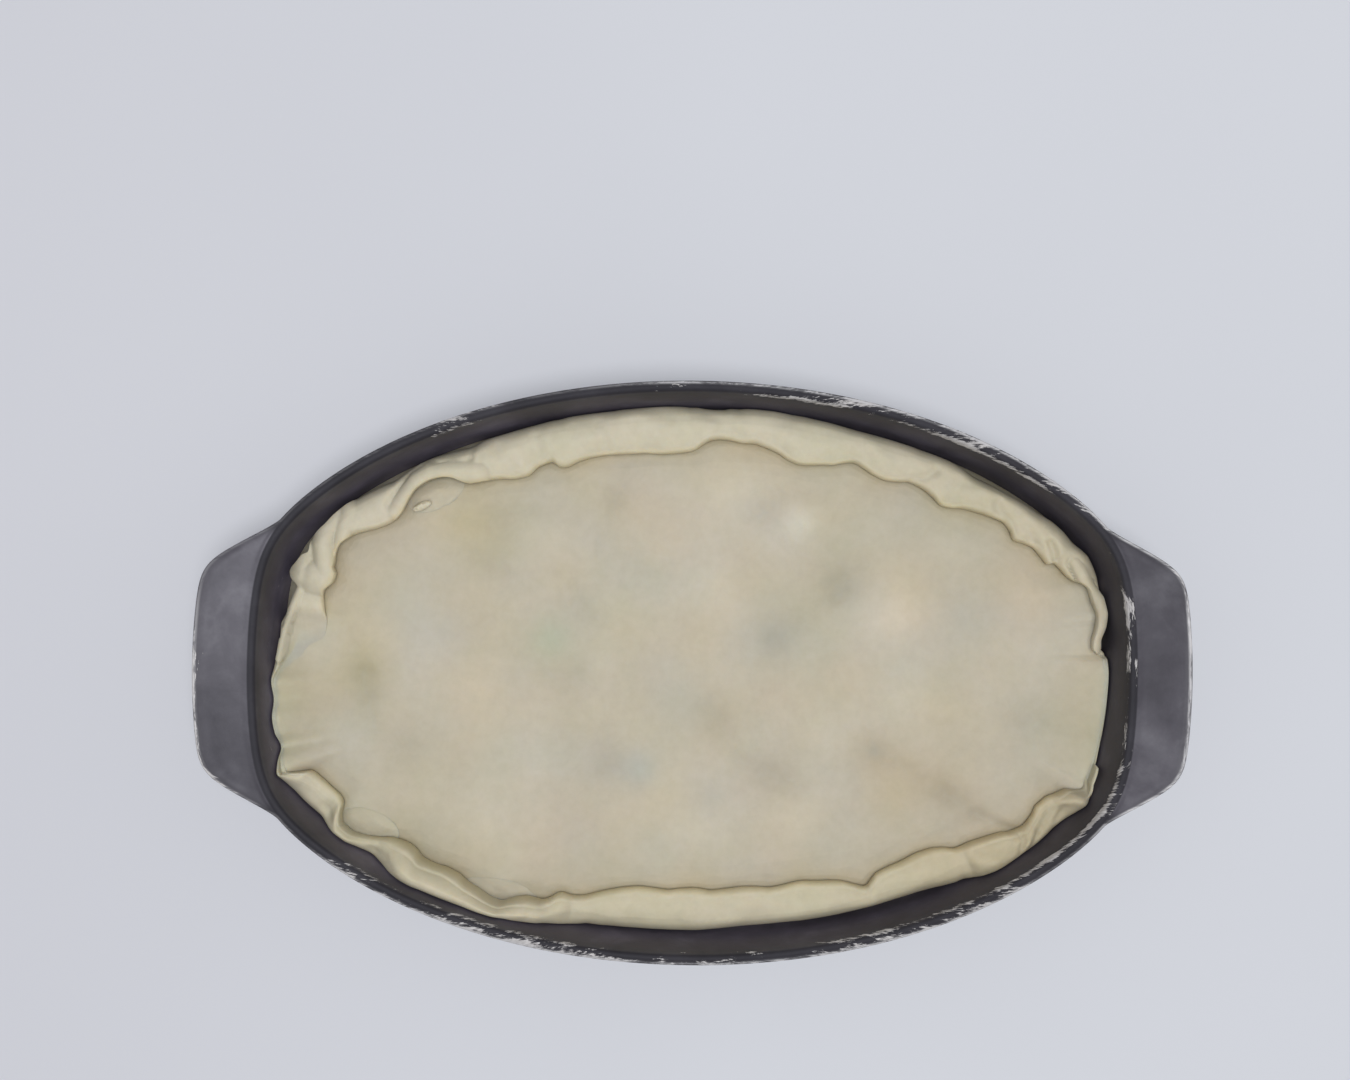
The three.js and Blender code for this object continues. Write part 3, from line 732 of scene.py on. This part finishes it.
# The valleys' pixels are taken at this height.
EDGE_LEVEL = 42
VALLEY_LINES = []
for pixels, width, depth in EDGE_VALLEYS:
    spots = [seen_at(pixel, EDGE_LEVEL) for pixel in pixels]
    VALLEY_LINES.append((spots, width, depth))
ROLL_SPANS = []
for roll in EDGE_ROLLS:
    spots = [(seen_at(point[:2], point[2]), point[2], point[3]) for point in roll]
    ROLL_SPANS += list(zip(spots, spots[1:]))


# No valley and no single span of a roll reaches further than this from its start.
VALLEY_SPAN, ROLL_SPAN = 40, 22

# The hand's unevenness, and the lid's: height, width and the layer of the noise that is read.
EDGE_WAVES = ((1.3, 13, 11), (0.25, 6, 31))
LID_WAVES = ((0.45, 24, 3), (0.14, 8, 7))


def unevenness(place, waves):
    """How far low, random waves lift a place."""
    return sum(height * noise.noise(Vector((place.x, place.y, layer)) / width)
               for height, width, layer in waves)


def edge_relief(place):
    """How much the valleys and the unevenness of the hand raise the turned edge."""
    rise = 0.0
    for spots, width, depth in VALLEY_LINES:
        if abs(place.x - spots[0].x) > VALLEY_SPAN or abs(place.y - spots[0].y) > VALLEY_SPAN:
            continue
        distance = min(math.hypot(*line_offsets(place, *span)[1:])
                       for span in zip(spots, spots[1:]))
        if distance < 3 * width:
            rise -= depth * math.exp(-(distance / width) ** 2)
    return rise + unevenness(place, EDGE_WAVES)


def roll_top(place):
    """The height of the highest roll of pastry over a place, or None where there is none."""
    top = None
    for (start, start_top, start_radius), (end, end_top, end_radius) in ROLL_SPANS:
        if abs(place.x - start.x) > ROLL_SPAN or abs(place.y - start.y) > ROLL_SPAN:
            continue
        share, past, left = line_offsets(place, start, end)
        share = min(max(share, 0), 1)
        radius = mix(start_radius, end_radius, share)
        distance = math.hypot(past, left)
        if distance < radius:
            height = mix(start_top, end_top, share) - radius
            height += math.sqrt(radius * radius - distance * distance)
            top = height if top is None else max(top, height)
    return top


# Lumps of filling that lift the lid, and hollows between them: x, y, radius, height.
LID_LUMPS = [
    (-60, 54, 15, 1.6), (45, 62, 9, 1.5), (85, 24, 17, 1.9), (90, -12, 18, 1.6),
    (56, -26, 15, 1.6), (9, 34, 14, 1.2), (16, 76, 16, 1.4), (-33, 27, 12, 1.1),
    (-41, 3, 9, 1.1), (-94, -10, 16, 1.1), (-72, -33, 17, 1.4), (-84, -66, 18, 1.3),
    (3, -70, 10, 1.2), (45, -63, 13, 1.2), (-120, 10, 18, 1), (142, -2, 18, 0.9),
    (-85, 56, 13, -1.3), (-32, 73, 9, -1.4), (31, 66, 7, -1), (62, 36, 9, -1.4),
    (37, 15, 10, -1.2), (11, -22, 10, -1.7), (34, -46, 10, -1.5), (-36, -41, 12, -1.5),
    (-139, -8, 11, -1.6), (-48, -2, 8, -0.9), (79, -38, 12, -1.5), (112, -53, 12, -1.4),
    (145, -24, 13, -1.1), (119, 26, 12, -0.9), (-49, -66, 12, -1.1), (-120, -37, 11, -1),
]

# Furrows in the lid between lumps, as lines with a width and a depth.
LID_FURROWS = [
    ((137, -67), (120, -60), 2.2, 1.1), ((120, -60), (108, -52), 4, 1.0),
    ((108, -52), (78, -35), 6, 0.9), ((78, -35), (72, -17), 6, 0.6),
    ((-29, 86), (-33, 71), 4, 0.5), ((-33, 71), (-41, 50), 5, 0.5),
    ((8, -13), (19, -38), 5, 0.6), ((19, -38), (48, -51), 5, 0.7), ((75, 45), (62, 35), 5, 0.5),
    ((62, 35), (35, 11), 6, 0.6), ((-145, 13), (-139, -2), 4, 0.7), ((-139, -2), (-134, -27), 4, 0.7),
    ((-101, 64), (-67, 67), 4, 0.5), ((-92, 49), (-79, 41), 4, 0.6), ((28, 65), (37, 74), 3.5, 0.6),
    ((37, 74), (58, 76), 3.5, 0.4), ((-36, -26), (-36, -41), 5, 0.5), ((-36, -41), (-26, -47), 4, 0.5),
    ((23, -82), (32, -88), 3, 0.4), ((-48, 33), (-43, 22), 4, 0.5), ((76, -61), (91, -69), 4, 0.4),
    ((133, -20), (154, -24), 4, 0.4), ((-62, -5), (-49, -9), 4, 0.4),
]
FURROW_LINES = [(Vector(start), Vector(end), width, depth)
                for start, end, width, depth in LID_FURROWS]


def lid_relief(place):
    """How much the filling under the lid lifts it or lets it sag."""
    rise = 0.0
    for x, y, radius, height in LID_LUMPS:
        away = ((place.x - x) ** 2 + (place.y - y) ** 2) / radius ** 2
        if away < 9:
            rise += height * math.exp(-away)
    for start, end, width, depth in FURROW_LINES:
        if (place - start).length > (end - start).length + 3 * width:
            continue
        _, past, left = line_offsets(place, start, end)
        distance = math.hypot(past, left)
        if distance < 3 * width:
            rise -= depth * math.exp(-(distance / width) ** 2)
    return rise + unevenness(place, LID_WAVES)


def thin_end(degrees):
    """1 where the pastry only stands at the wall, 0 where it is turned in over the lid."""
    share = 0
    for start, end in THIN_ENDS:
        from_middle = abs((degrees - (start + end) / 2 + 180) % 360 - 180)
        share = max(share, 1 - ease(from_middle - (end - start) / 2, *END_BLEND))
    return share


def edge_at(angle):
    """The measures of the pastry's edge in one direction."""
    degrees = math.degrees(angle)
    stand = flow(TURNED_EDGE, 1, degrees)
    reach = flow(TURNED_EDGE, 2, degrees)
    fullness = ease(reach - stand, THIN_EDGE, FULL_FOLD)
    height = DISH_HEIGHT - EDGE_FALL * (stand - HIGHEST_STAND)
    height = min(max(LOWEST_EDGE, height), HIGHEST_EDGE)
    steepness = ease(height, STEEP_FROM, STEEP_TO)
    crest = max(height + mix(THIN_CREST, FULL_CREST, fullness),
                mix(height, flow(EDGE_TOP, 1, degrees), fullness))
    lift = flow(EDGE_LIFT, 1, degrees)
    lid_rise = (height - GAP - LID_LEVEL) * thin_end(degrees)
    flush = 1 - ease(lift, FLUSH_LIFT, FREE_LIFT)
    proud = fullness * ease(lift, *PROUD_LIFT)
    lid_edge = mix(stand, reach, mix(LID_EDGE_PLACE, FLUSH_LID_PLACE, flush))
    return {"stand": stand, "reach": reach, "fullness": fullness, "height": height,
            "steepness": steepness, "crest": crest, "lift": lift, "lid_rise": lid_rise,
            "flush": flush, "proud": proud, "lid_edge": lid_edge}


def lid_height(edge, inward, measures):
    """Height of the lid's top at a distance in from the opening."""
    place = spot(edge, inward, 0).xy
    climb = max(0.0, (EVEN_INWARD - max(inward, THIN_REACH)) / (EVEN_INWARD - THIN_REACH))
    return LID_LEVEL + measures["lid_rise"] * climb ** CLIMB_POWER + lid_relief(place)


# Where the turned edge thins out it has the lid's colour. It is darker and yellower to the right, and
# on the near side, which faces the light, a painted warm tone of that light makes it yellower. The
# thin edge itself is paler and a little greener.
LIKE_LID = (0.80, 0.79, 0.795)
LIKE_LID_LIFT = (0.4, 2.6)
PALE_EDGE = (1.05, 1.085, 1.06)
PALE_REACH = 9
FAR_RIGHT = (0.92, 0.88, 0.82)
FAR_RIGHT_SPAN = (45, 140)
FAR_SIDE_SHARE = 0.5
NEAR_SIDE_LIGHT_TONE = (0.965, 0.955, 0.91)
NEAR_SIDE_SPAN = (30, 85)
PLAIN = Vector((1, 1, 1))

# How much of the painted sky shade the lid, the flush edge and a thin edge show, and where the warm
# painted crease shade lies across the turned edge.
LID_SHADING, THIN_SHADING = 0.2, 0.6
CREASE_SHARES = (0.82, 1.02)

# Distances in from the opening of the points under the lid.
UNDER_LID = (46, 60, 75, 90)


def tinge(tint, colour, share):
    """Multiplies a tint by a share of a colour."""
    for channel in range(3):
        tint[channel] *= mix(1, colour[channel], share)


def paleness(place, edge, measures):
    """How much of the flush edge's own pale colour a place has."""
    from_wall = (place.xy - edge[0]).dot(edge[1]) - measures["stand"]
    return measures["flush"] * math.exp(-(from_wall / PALE_REACH) ** 2)


def edge_tint(place, edge, measures):
    """The turned edge's colour at a place, with a painted tone of the light on its near side."""
    like_lid = 1 - ease(measures["lift"], *LIKE_LID_LIFT)
    far_right = ease(place.x, *FAR_RIGHT_SPAN) * (1 if place.y < 0 else FAR_SIDE_SHARE)
    near_side_light_tone = ease(-place.y, *NEAR_SIDE_SPAN)
    tint = PLAIN.copy()
    tinge(tint, LIKE_LID, like_lid)
    tinge(tint, FAR_RIGHT, far_right * (1 - like_lid))
    tinge(tint, NEAR_SIDE_LIGHT_TONE, near_side_light_tone * (1 - like_lid))
    tinge(tint, PALE_EDGE, paleness(place, edge, measures))
    return tint


def arch(start, end, steps, round_first):
    """A quarter of an ellipse from start to end. round_first leaves start straight up."""
    points = []
    for step in range(steps):
        turn = step / steps * math.pi / 2
        if round_first:
            share = Vector((1 - math.cos(turn), math.sin(turn)))
        else:
            share = Vector((math.sin(turn), 1 - math.cos(turn)))
        points.append(Vector((mix(start.x, end.x, share.x), mix(start.y, end.y, share.y))))
    return points


def crust_radius(angle):
    """One radius of the crust: under its floor, up the wall, over the turned edge and in under
    the lid, where the filling is."""
    edge = opening_edge(angle)
    measures = edge_at(angle)
    stand, reach = measures["stand"], measures["reach"]
    fullness, height = measures["fullness"], measures["height"]
    steepness, lift = measures["steepness"], measures["lift"]
    flush, proud = measures["flush"], measures["proud"]
    lid_there = lid_height(edge, reach, measures)
    outermost = max(stand, wall_inward(height - SHOULDER_DROP) + GAP)
    width = reach - outermost
    shoulder = min(SHOULDER, SHOULDER_SHARE * width)
    round_nose = min(max(NOSE_ROUND * lift, LEAST_NOSE), NOSE_SHARE * width)
    crest = max(measures["crest"], lid_there + CREST_OVER_LID * fullness)
    tuck = mix(*TUCK, fullness)
    crest_place = mix(*CREST_PLACE, steepness)
    nose_top = lid_there + mix(lift, NOSE_LIFT * lift + NOSE_RISE, proud)

    def top_at(share):
        if share < crest_place:
            return crest - (crest - mix(height, crest, BROW)) * (1 - share / crest_place) ** 2
        fall = (share - crest_place) / (1 - crest_place)
        rounded = 1 - math.sqrt(max(0.0, 1 - FALL_CURVE * fall ** 2))
        return mix(crest, nose_top, mix(fall ** 2, rounded / FULL_FALL, steepness))

    base = Vector((outermost, height - SHOULDER_DROP))
    first = Vector((outermost + shoulder, top_at(shoulder / width)))
    last = Vector((reach - round_nose, top_at(1 - round_nose / width)))
    tip = Vector((reach, lid_there + TIP_LIFT * lift))
    under = Vector((reach - tuck, lid_there + TUCK_RISE))
    gap = outermost - wall_inward(GAP_LEVEL) - GAP
    curve = [Vector((wall_inward(GAP_LEVEL) + GAP, GAP_LEVEL)),
             Vector((outermost - GAP_CORNER * gap, GAP_LEVEL + 1))]
    curve += arch(base, first, SHOULDER_STEPS, True)
    for step in range(CREST_STEPS):
        share = step / CREST_STEPS
        level = top_at(mix(shoulder, width - round_nose, share) / width)
        curve.append(Vector((mix(first.x, last.x, share), level)))
    curve += arch(last, tip, NOSE_STEPS, False)
    curve += arch(tip, under, TUCK_STEPS, True)
    curve.append(under)

    rows = [spot(edge, MIDDLE, FLOOR + GAP)]
    for inward, level in base_corner(BASE_CORNER - WALL - GAP, CRUST_CORNER_STEPS):
        rows.append(spot(edge, inward, level))
    across = [Vector()] * len(rows)
    for step, guided in enumerate(curve):
        place = spot(edge, guided.x, guided.y)
        share = (guided.x - outermost) / width
        shown = ease(step, SHOULDER_START, CREST_START) * mix(LEAST_RELIEF, 1, proud)
        shown *= 1 - ease(step, NOSE_START, TIP_START - 1)
        place.z += edge_relief(place.xy) * shown
        top = roll_top(place.xy)
        if top is not None and SHOULDER_START < step < TIP_START:
            place.z = max(place.z, top)
        if step >= CREST_START and flush:
            level = lid_height(edge, guided.x, measures) - FLUSH_SINK * (step >= TIP_START)
            level += FLUSH_RISE * (1 - 2 * ease(share, *INNER_HALF))
            place.z = mix(place.z, level, flush * ease(share, *FLUSH_BLEND))
        rows.append(place)
        # Marks for the painted shade: the warm crease, the share of the painted sky shade, and the gap
        # at the wall.
        shading = mix(mix(THIN_SHADING, 1, fullness), LID_SHADING, flush)
        gap_side = step <= SHOULDER_START
        across.append(Vector((ease(share, *CREASE_SHARES) * proud, shading, gap_side)))
    lid_edge = measures["lid_edge"] - GAP
    rows.append(spot(edge, lid_edge, lid_height(edge, lid_edge, measures) + GAP * (1 - flush)))
    for inward in (lid_edge, reach, EVEN_INWARD, *UNDER_LID, MIDDLE):
        level = lid_height(edge, inward, measures) - PASTRY - GAP
        rows.append(spot(edge, inward, level))
    across += [Vector()] * (len(rows) - len(across))
    tints = [edge_tint(place, edge, measures) for place in rows]
    return list(zip(rows, across, tints))


# The broad mottling of the dough and the fine flour on it, as shares of its colour.
MOTTLING = [(0.3, (0.95, 0.965, 0.93)), (0.5, (1.0, 1.0, 1.0)), (0.7, (1.03, 1.02, 1.05))]
FLOUR = [(0.3, (0.95, 0.945, 0.93)), (0.6, (1.0, 1.0, 1.0)), (0.8, (1.02, 1.025, 1.05))]
DOUGH_FINISH = {
    "Subsurface Weight": 0.35, "Subsurface Radius": (1.0, 0.72, 0.42), "Subsurface Scale": 0.003,
    "Specular IOR Level": 0.35,
}


def raw_dough(name, base):
    """Raw pastry: pale, a little waxy, with flour in its grain."""
    material, shader = new_material(name)
    link = material.node_tree.links.new
    place = add_node(material, "ShaderNodeTexCoord").outputs["Object"]
    broad = add_node(material, "ShaderNodeTexNoise", Vector=place, Scale=24.0, Detail=3.0,
                     Roughness=0.55).outputs["Fac"]
    fine = add_node(material, "ShaderNodeTexNoise", Vector=place, Scale=260.0, Detail=4.0,
                    Roughness=0.65).outputs["Fac"]
    mottled = ramp(material, broad, [
        (stop, tuple(part * share for part, share in zip(base, shares)))
        for stop, shares in MOTTLING
    ])
    floury = blend(material, mottled, ramp(material, fine, FLOUR), kind="MULTIPLY")
    # The tint holds the pastry's own colour changes and the painted shade.
    tint = add_node(material, "ShaderNodeAttribute", attribute_name="tint").outputs["Color"]
    link(blend(material, floury, tint, kind="MULTIPLY"), shader.inputs["Base Color"])
    for finish, value in DOUGH_FINISH.items():
        shader.inputs[finish].default_value = value
    rough = add_node(material, "ShaderNodeMapRange", Value=broad, From_Min=0.3, From_Max=0.7,
                     To_Min=0.5, To_Max=0.62)
    link(rough.outputs["Result"], shader.inputs["Roughness"])
    bump = add_node(material, "ShaderNodeBump", Strength=0.16, Distance=0.0004, Height=fine)
    link(bump.outputs["Normal"], shader.inputs["Normal"])
    return material


# Flaps of the lining that show between the turned edge and the lid: the two ends of each in the
# photograph's pixels, its half width, and how high it rises over the lid, in millimetres.
FLAPS = [
    ((403, 510), (466, 480), 6.2, 1.2), ((341, 814), (398, 838), 6.6, 1.4),
    ((452, 886), (538, 900), 6.2, 1.2),
]
CRUMB = ((413, 510), (431, 502), 1.7, 3.3)
FLAP_LEVEL = LID_LEVEL + 2
FLAP_TINT = Vector((0.86, 0.845, 0.84))
FLAP_ROUGHNESS, CRUMB_ROUGHNESS = 0.35, 0.6
PRESSED = 1.6
PAD_TURNS, PAD_RINGS = 64, 24


def pastry_pad(shape, ends, half_width, rise, roughness, colour):
    """Adds a flat pad of pastry with a soft edge on the lid, from a ball pressed flat."""
    start, end = (seen_at(pixel, FLAP_LEVEL) for pixel in ends)
    along = end - start
    ball = bmesh.ops.create_uvsphere(shape, u_segments=PAD_TURNS, v_segments=PAD_RINGS,
                                     radius=1.0)["verts"]
    layers = shape.verts.layers.float_vector
    for vertex in ball:
        vertex.co.z = math.copysign(abs(vertex.co.z) ** PRESSED, vertex.co.z)
    turn = Matrix.Rotation(math.atan2(along.y, along.x), 4, "Z")
    size = Matrix.Diagonal((along.length / 2, half_width, PASTRY / 2, 1))
    middle = (start + end) / 2
    place = Matrix.Translation((middle.x, middle.y, rise - PASTRY / 2))
    bmesh.ops.transform(shape, matrix=place @ turn @ size, verts=ball)
    for vertex in ball:
        angle = math.atan2(vertex.co.y, vertex.co.x) % math.tau
        edge = opening_edge(angle)
        inward = (vertex.co.xy - edge[0]).dot(edge[1])
        rough = unevenness(vertex.co, ((roughness, 0.7 * half_width, 5),))
        vertex.co.z += lid_height(edge, inward, edge_at(angle)) + rough
        vertex.co = vertex.co * MM
        # A pad gets the full painted sky shade and its own colour.
        vertex[layers["painted_shade_marks"]] = (0, 1, 0)
        vertex[layers["tint"]] = colour


# Directions to the sky, evenly spread, and how much a place that sees little of it loses as shade
# painted into its colour, with the painted shade in the gap at the wall and in the crease.
SKY_AROUND = 7
SKY_HEIGHTS = (1 / 6, 3 / 6, 5 / 6)
SKY = [Vector((math.cos(turn) * math.sqrt(1 - height ** 2),
               math.sin(turn) * math.sqrt(1 - height ** 2), height))
       for row, height in enumerate(SKY_HEIGHTS)
       for turn in ((step + row / 3) / SKY_AROUND * math.tau for step in range(SKY_AROUND))]
SHADE_REACH = 0.035
OFF_SURFACE = 0.0003
WHOLE_SHADE = 0.4
LEAST_LIGHT = 0.62
GAP_SHADE = 0.75
CREASE_SHADE = (0.97, 0.92, 0.80)


def open_sky(place, normal, around):
    """The share of the sky that a place sees past what stands around it."""
    seen = faced = 0.0
    start = place + normal * OFF_SURFACE
    for direction in SKY:
        facing = normal.dot(direction)
        if facing <= 0:
            continue
        faced += facing
        if not any(tree.ray_cast(start, direction, SHADE_REACH)[0] for tree in around):
            seen += facing
    return seen / faced if faced else 0


def paint_sky_shade(shape, around):
    """Paints shade into the pastry's tint: darker where it sees less sky and in the gap at the wall, and
    warmer in the crease.
    """
    shape.normal_update()
    layers = shape.verts.layers.float_vector
    for vertex in shape.verts:
        tint = vertex[layers["tint"]]
        colour = tint.copy() if tint.length else PLAIN.copy()
        into, seen, gap = vertex[layers["painted_shade_marks"]]
        if seen:
            # Painted shade, from the share of the sky that the place sees.
            light = mix(WHOLE_SHADE, 1, open_sky(vertex.co, vertex.normal, around))
            light = max(light, LEAST_LIGHT) * mix(1, GAP_SHADE, gap)
            colour *= mix(1, light, seen)
            tinge(colour, CREASE_SHADE, into)
        vertex[layers["tint"]] = colour


crust_disc = turned_disc(len(crust_radius(0)), CRUST_TURNS)
carry(crust_disc, CRUST_TURNS, crust_radius, ("painted_shade_marks", "tint"))
for *flap_ends, flap_width, flap_rise in FLAPS:
    pastry_pad(crust_disc, flap_ends, flap_width, flap_rise, FLAP_ROUGHNESS, FLAP_TINT)
*crumb_ends, crumb_width, crumb_rise = CRUMB
pastry_pad(crust_disc, crumb_ends, crumb_width, crumb_rise, CRUMB_ROUGHNESS, PLAIN)
crust_disc.normal_update()
crust_around = BVHTree.FromBMesh(crust_disc)
# The crust's colour is darkened as painted shade where it sees less sky.
paint_sky_shade(crust_disc, (dish_around, crust_around))
DOUGH_EDGE = (0.73, 0.675, 0.52)
finish_piece(crust_disc, "lining_with_filling", raw_dough("lining_dough", DOUGH_EDGE),
             "filled_crust")

# ------------------------------------------------------------------ the pastry lid
# A rolled sheet of pastry laid on the filling, under the turned edge. The filling shows through
# as low lumps, and a little colour comes through where something lies close under the sheet.

LID_TURNS = 900

# Rings across the lid: at its hidden edge, over its even border and over its middle, and the
# distances in from the opening of those on its underside.
HIDDEN_SHARES = (0, 0.12, 0.5)
BORDER_START, BORDER_RINGS = 0.5, 26
MIDDLE_RINGS = 66
UNDERSIDE = (52, 73, 94)

# The width of the warm painted shade in the crease along the turned edge, the span of the painted sky
# shade beside it, how strongly lumps are painted lighter and hollows darker as painted light and
# shade, and the mottling: height, width and layer.
SEAM_WIDTH = 3.2
SHADE_SPAN = (4, 23)
RELIEF_TINT = 0.045
SPOTS = ((0.03, 15, 70), (0.02, 6, 90))
COOL_CLOUDS = ((0.045, 26, 50),)
BLUE_SHARE = 1.5

# Colours on the lid: x, y, radius and colour. Some are something lying close under the sheet that
# shows through; the small grey darker ones are painted shade in hollows between the lumps, and the
# three broad ones make the middle and the long sides lighter.
LID_TINTS = [
    (45, 62, 8, (1.06, 1.11, 1.18)), (-21.5, -43, 7, (0.92, 0.98, 1.06)),
    (-60, 12, 9, (0.93, 1.02, 1.0)), (81, 26, 12, (1.06, 1.06, 1.08)),
    (-95, 62, 16, (1.02, 1.0, 0.90)), (-140, 0, 14, (1.0, 0.99, 0.90)),
    (90, -45, 22, (1.04, 0.99, 0.93)), (0, 0, 60, (1.02, 1.02, 1.03)),
    (-160, 20, 12, (1.01, 1.03, 0.97)), (-84, 64, 8, (0.95, 0.95, 0.96)),
    (64, 36, 9, (0.95, 0.96, 0.98)), (35, 13, 8, (0.95, 0.96, 0.98)),
    (29, -44, 9, (0.95, 0.955, 0.97)), (-140, -2, 8, (0.94, 0.95, 0.96)),
    (101, -48, 10, (0.97, 0.955, 0.95)), (8, -55, 7, (0.96, 0.97, 0.98)),
    (-45, 29, 8, (0.96, 0.97, 0.99)), (-121, -35, 9, (0.96, 0.965, 0.96)),
    (10, 72, 42, (1.04, 1.04, 1.035)), (-10, -72, 42, (1.045, 1.045, 1.045)),
]


def lid_radius(angle):
    """One radius of the lid, from the middle of its underside to the middle of its top."""
    edge = opening_edge(angle)
    measures = edge_at(angle)
    reach, hidden = measures["reach"], measures["lid_edge"]
    top = [mix(hidden, reach, share) for share in HIDDEN_SHARES]
    top += [mix(reach - BORDER_START, EVEN_INWARD, step / BORDER_RINGS)
            for step in range(BORDER_RINGS + 1)]
    top += [mix(EVEN_INWARD, MIDDLE, step / MIDDLE_RINGS) for step in range(1, MIDDLE_RINGS + 1)]
    bottom = [hidden, reach, EVEN_INWARD, *UNDERSIDE, MIDDLE]
    rows = []
    for inward in reversed(bottom):
        rows.append(spot(edge, inward, lid_height(edge, inward, measures) - PASTRY))
    for inward in top:
        rows.append(spot(edge, inward, lid_height(edge, inward, measures)))
    marked = []
    for ring, place in enumerate(rows):
        relief = lid_relief(place.xy) if ring >= len(bottom) else 0
        from_edge = max(0, top[max(ring - len(bottom), 0)] - reach)
        # The warm painted shade in the crease and the painted sky shade beside the turned edge.
        seam = math.exp(-from_edge / SEAM_WIDTH) * measures["proud"]
        near = (1 - ease(from_edge, *SHADE_SPAN)) * mix(LID_SHADING, 1, measures["proud"])
        # Lumps are painted lighter and hollows darker, as painted light and shade.
        tint = PLAIN * (1 + RELIEF_TINT * relief + unevenness(place, SPOTS))
        cool = unevenness(place, COOL_CLOUDS)
        tint.x *= 1 - cool
        tint.z *= 1 + BLUE_SHARE * cool
        for x, y, radius, colour in LID_TINTS:
            away = ((place.x - x) ** 2 + (place.y - y) ** 2) / radius ** 2
            tinge(tint, colour, math.exp(-away))
        tinge(tint, PALE_EDGE, paleness(place, edge, measures))
        marked.append((place, Vector((seam, near, 0)), tint))
    return marked


lid_disc = turned_disc(len(lid_radius(0)), LID_TURNS)
carry(lid_disc, LID_TURNS, lid_radius, ("painted_shade_marks", "tint"))
# The lid's colour is darkened as painted shade where it sees less sky and beside the turned edge.
paint_sky_shade(lid_disc, (dish_around, crust_around))
DOUGH_LID = (0.58, 0.528, 0.412)
finish_piece(lid_disc, "rolled_lid", raw_dough("lid_dough", DOUGH_LID), "pastry_lid")

# ------------------------------------------------------------------ the table and the light
# A plain pale table under a broad, soft light from straight above. Two windows show only as a
# sheen on the dark coating. The camera looks straight down, as in the photograph.

# The table's colours, the painted shade that makes its left side darker, and from where to where that
# shade fades out from left to right, in metres.
TABLE_TONES = [(0.3, (0.70, 0.715, 0.765)), (0.7, (0.72, 0.735, 0.785))]
PAINTED_SHADE_LEFT = [(0.0, (0.94, 0.93, 0.935)), (1.0, (1.0, 1.0, 1.0))]
DIM_TO, LIGHT_FROM = -0.30, 0.02
TABLE_HALF = 2.0


def pale_table():
    """A smooth, matt table top, painted darker to the left as shade."""
    material, shader = new_material("pale_table")
    place = add_node(material, "ShaderNodeTexCoord").outputs["Object"]
    cloud = add_node(material, "ShaderNodeTexNoise", Vector=place, Scale=3.0, Detail=2.0)
    across = add_node(material, "ShaderNodeSeparateXYZ", Vector=place)
    # Painted shade: the table grows lighter from left to right.
    side = add_node(material, "ShaderNodeMapRange", Value=across.outputs["X"], From_Min=DIM_TO,
                    From_Max=LIGHT_FROM)
    tone = blend(material, ramp(material, cloud.outputs["Fac"], TABLE_TONES),
                 ramp(material, side.outputs["Result"], PAINTED_SHADE_LEFT), kind="MULTIPLY")
    material.node_tree.links.new(tone, shader.inputs["Base Color"])
    shader.inputs["Roughness"].default_value = 0.6
    shader.inputs["Specular IOR Level"].default_value = 0.2
    return material


table_shape = bmesh.new()
bmesh.ops.create_grid(table_shape, x_segments=4, y_segments=4, size=TABLE_HALF)
table_mesh = bpy.data.meshes.new("table")
table_shape.to_mesh(table_mesh)
table_shape.free()
table_mesh.materials.append(pale_table())
table = bpy.data.objects.new("table", table_mesh)
bpy.context.scene.collection.objects.link(table)


# The windows: name, place and what it faces in metres, power and colour.
WINDOW_SIZE = (0.8, 1.4)
WINDOWS = [
    ("window_glow", (-0.75, 0.1, 1.9), (-0.2, 0, 0), 11, (0.92, 0.95, 1.0)),
    ("far_glow", (0.7, 0.1, 1.9), (0.2, 0, 0), 7, (0.95, 0.95, 1.0)),
]
SUN_STRENGTH = 2.12
SUN_SPREAD = math.radians(26)
SUN_TILT = (math.radians(1), math.radians(3.5), 0)
AIR_COLOUR = (0.93, 0.96, 1.0, 1)
AIR_STRENGTH = 0.25


def window_glow(name, place, aim, power, colour):
    """Adds a window that shows in reflections and lights nothing."""
    lamp = bpy.data.lights.new(name, "AREA")
    lamp.shape = "RECTANGLE"
    lamp.size, lamp.size_y = WINDOW_SIZE
    lamp.energy = power
    lamp.color = colour
    light = bpy.data.objects.new(name, lamp)
    light.location = place
    light.rotation_euler = (Vector(aim) - Vector(place)).to_track_quat("-Z", "Y").to_euler()
    light.visible_diffuse = False
    bpy.context.scene.collection.objects.link(light)


sun = bpy.data.lights.new("overhead", "SUN")
sun.energy = SUN_STRENGTH
sun.angle = SUN_SPREAD
overhead = bpy.data.objects.new("overhead", sun)
overhead.rotation_euler = SUN_TILT
overhead.visible_glossy = False
bpy.context.scene.collection.objects.link(overhead)
for window in WINDOWS:
    window_glow(*window)

world = bpy.data.worlds.new("studio")
bpy.context.scene.world = world
world.use_nodes = True
air = world.node_tree.nodes["Background"]
air.inputs["Color"].default_value = AIR_COLOUR
air.inputs["Strength"].default_value = AIR_STRENGTH

camera_data = bpy.data.cameras.new("camera")
camera_data.sensor_width = CAMERA_SENSOR
camera_data.lens = CAMERA_LENS
camera = bpy.data.objects.new("camera", camera_data)
camera.location = Vector(CAMERA_PLACE) * MM
camera.rotation_euler = (0, 0, CAMERA_TURN)
bpy.context.scene.collection.objects.link(camera)
bpy.context.scene.camera = camera
bpy.context.scene.view_settings.view_transform = "Standard"
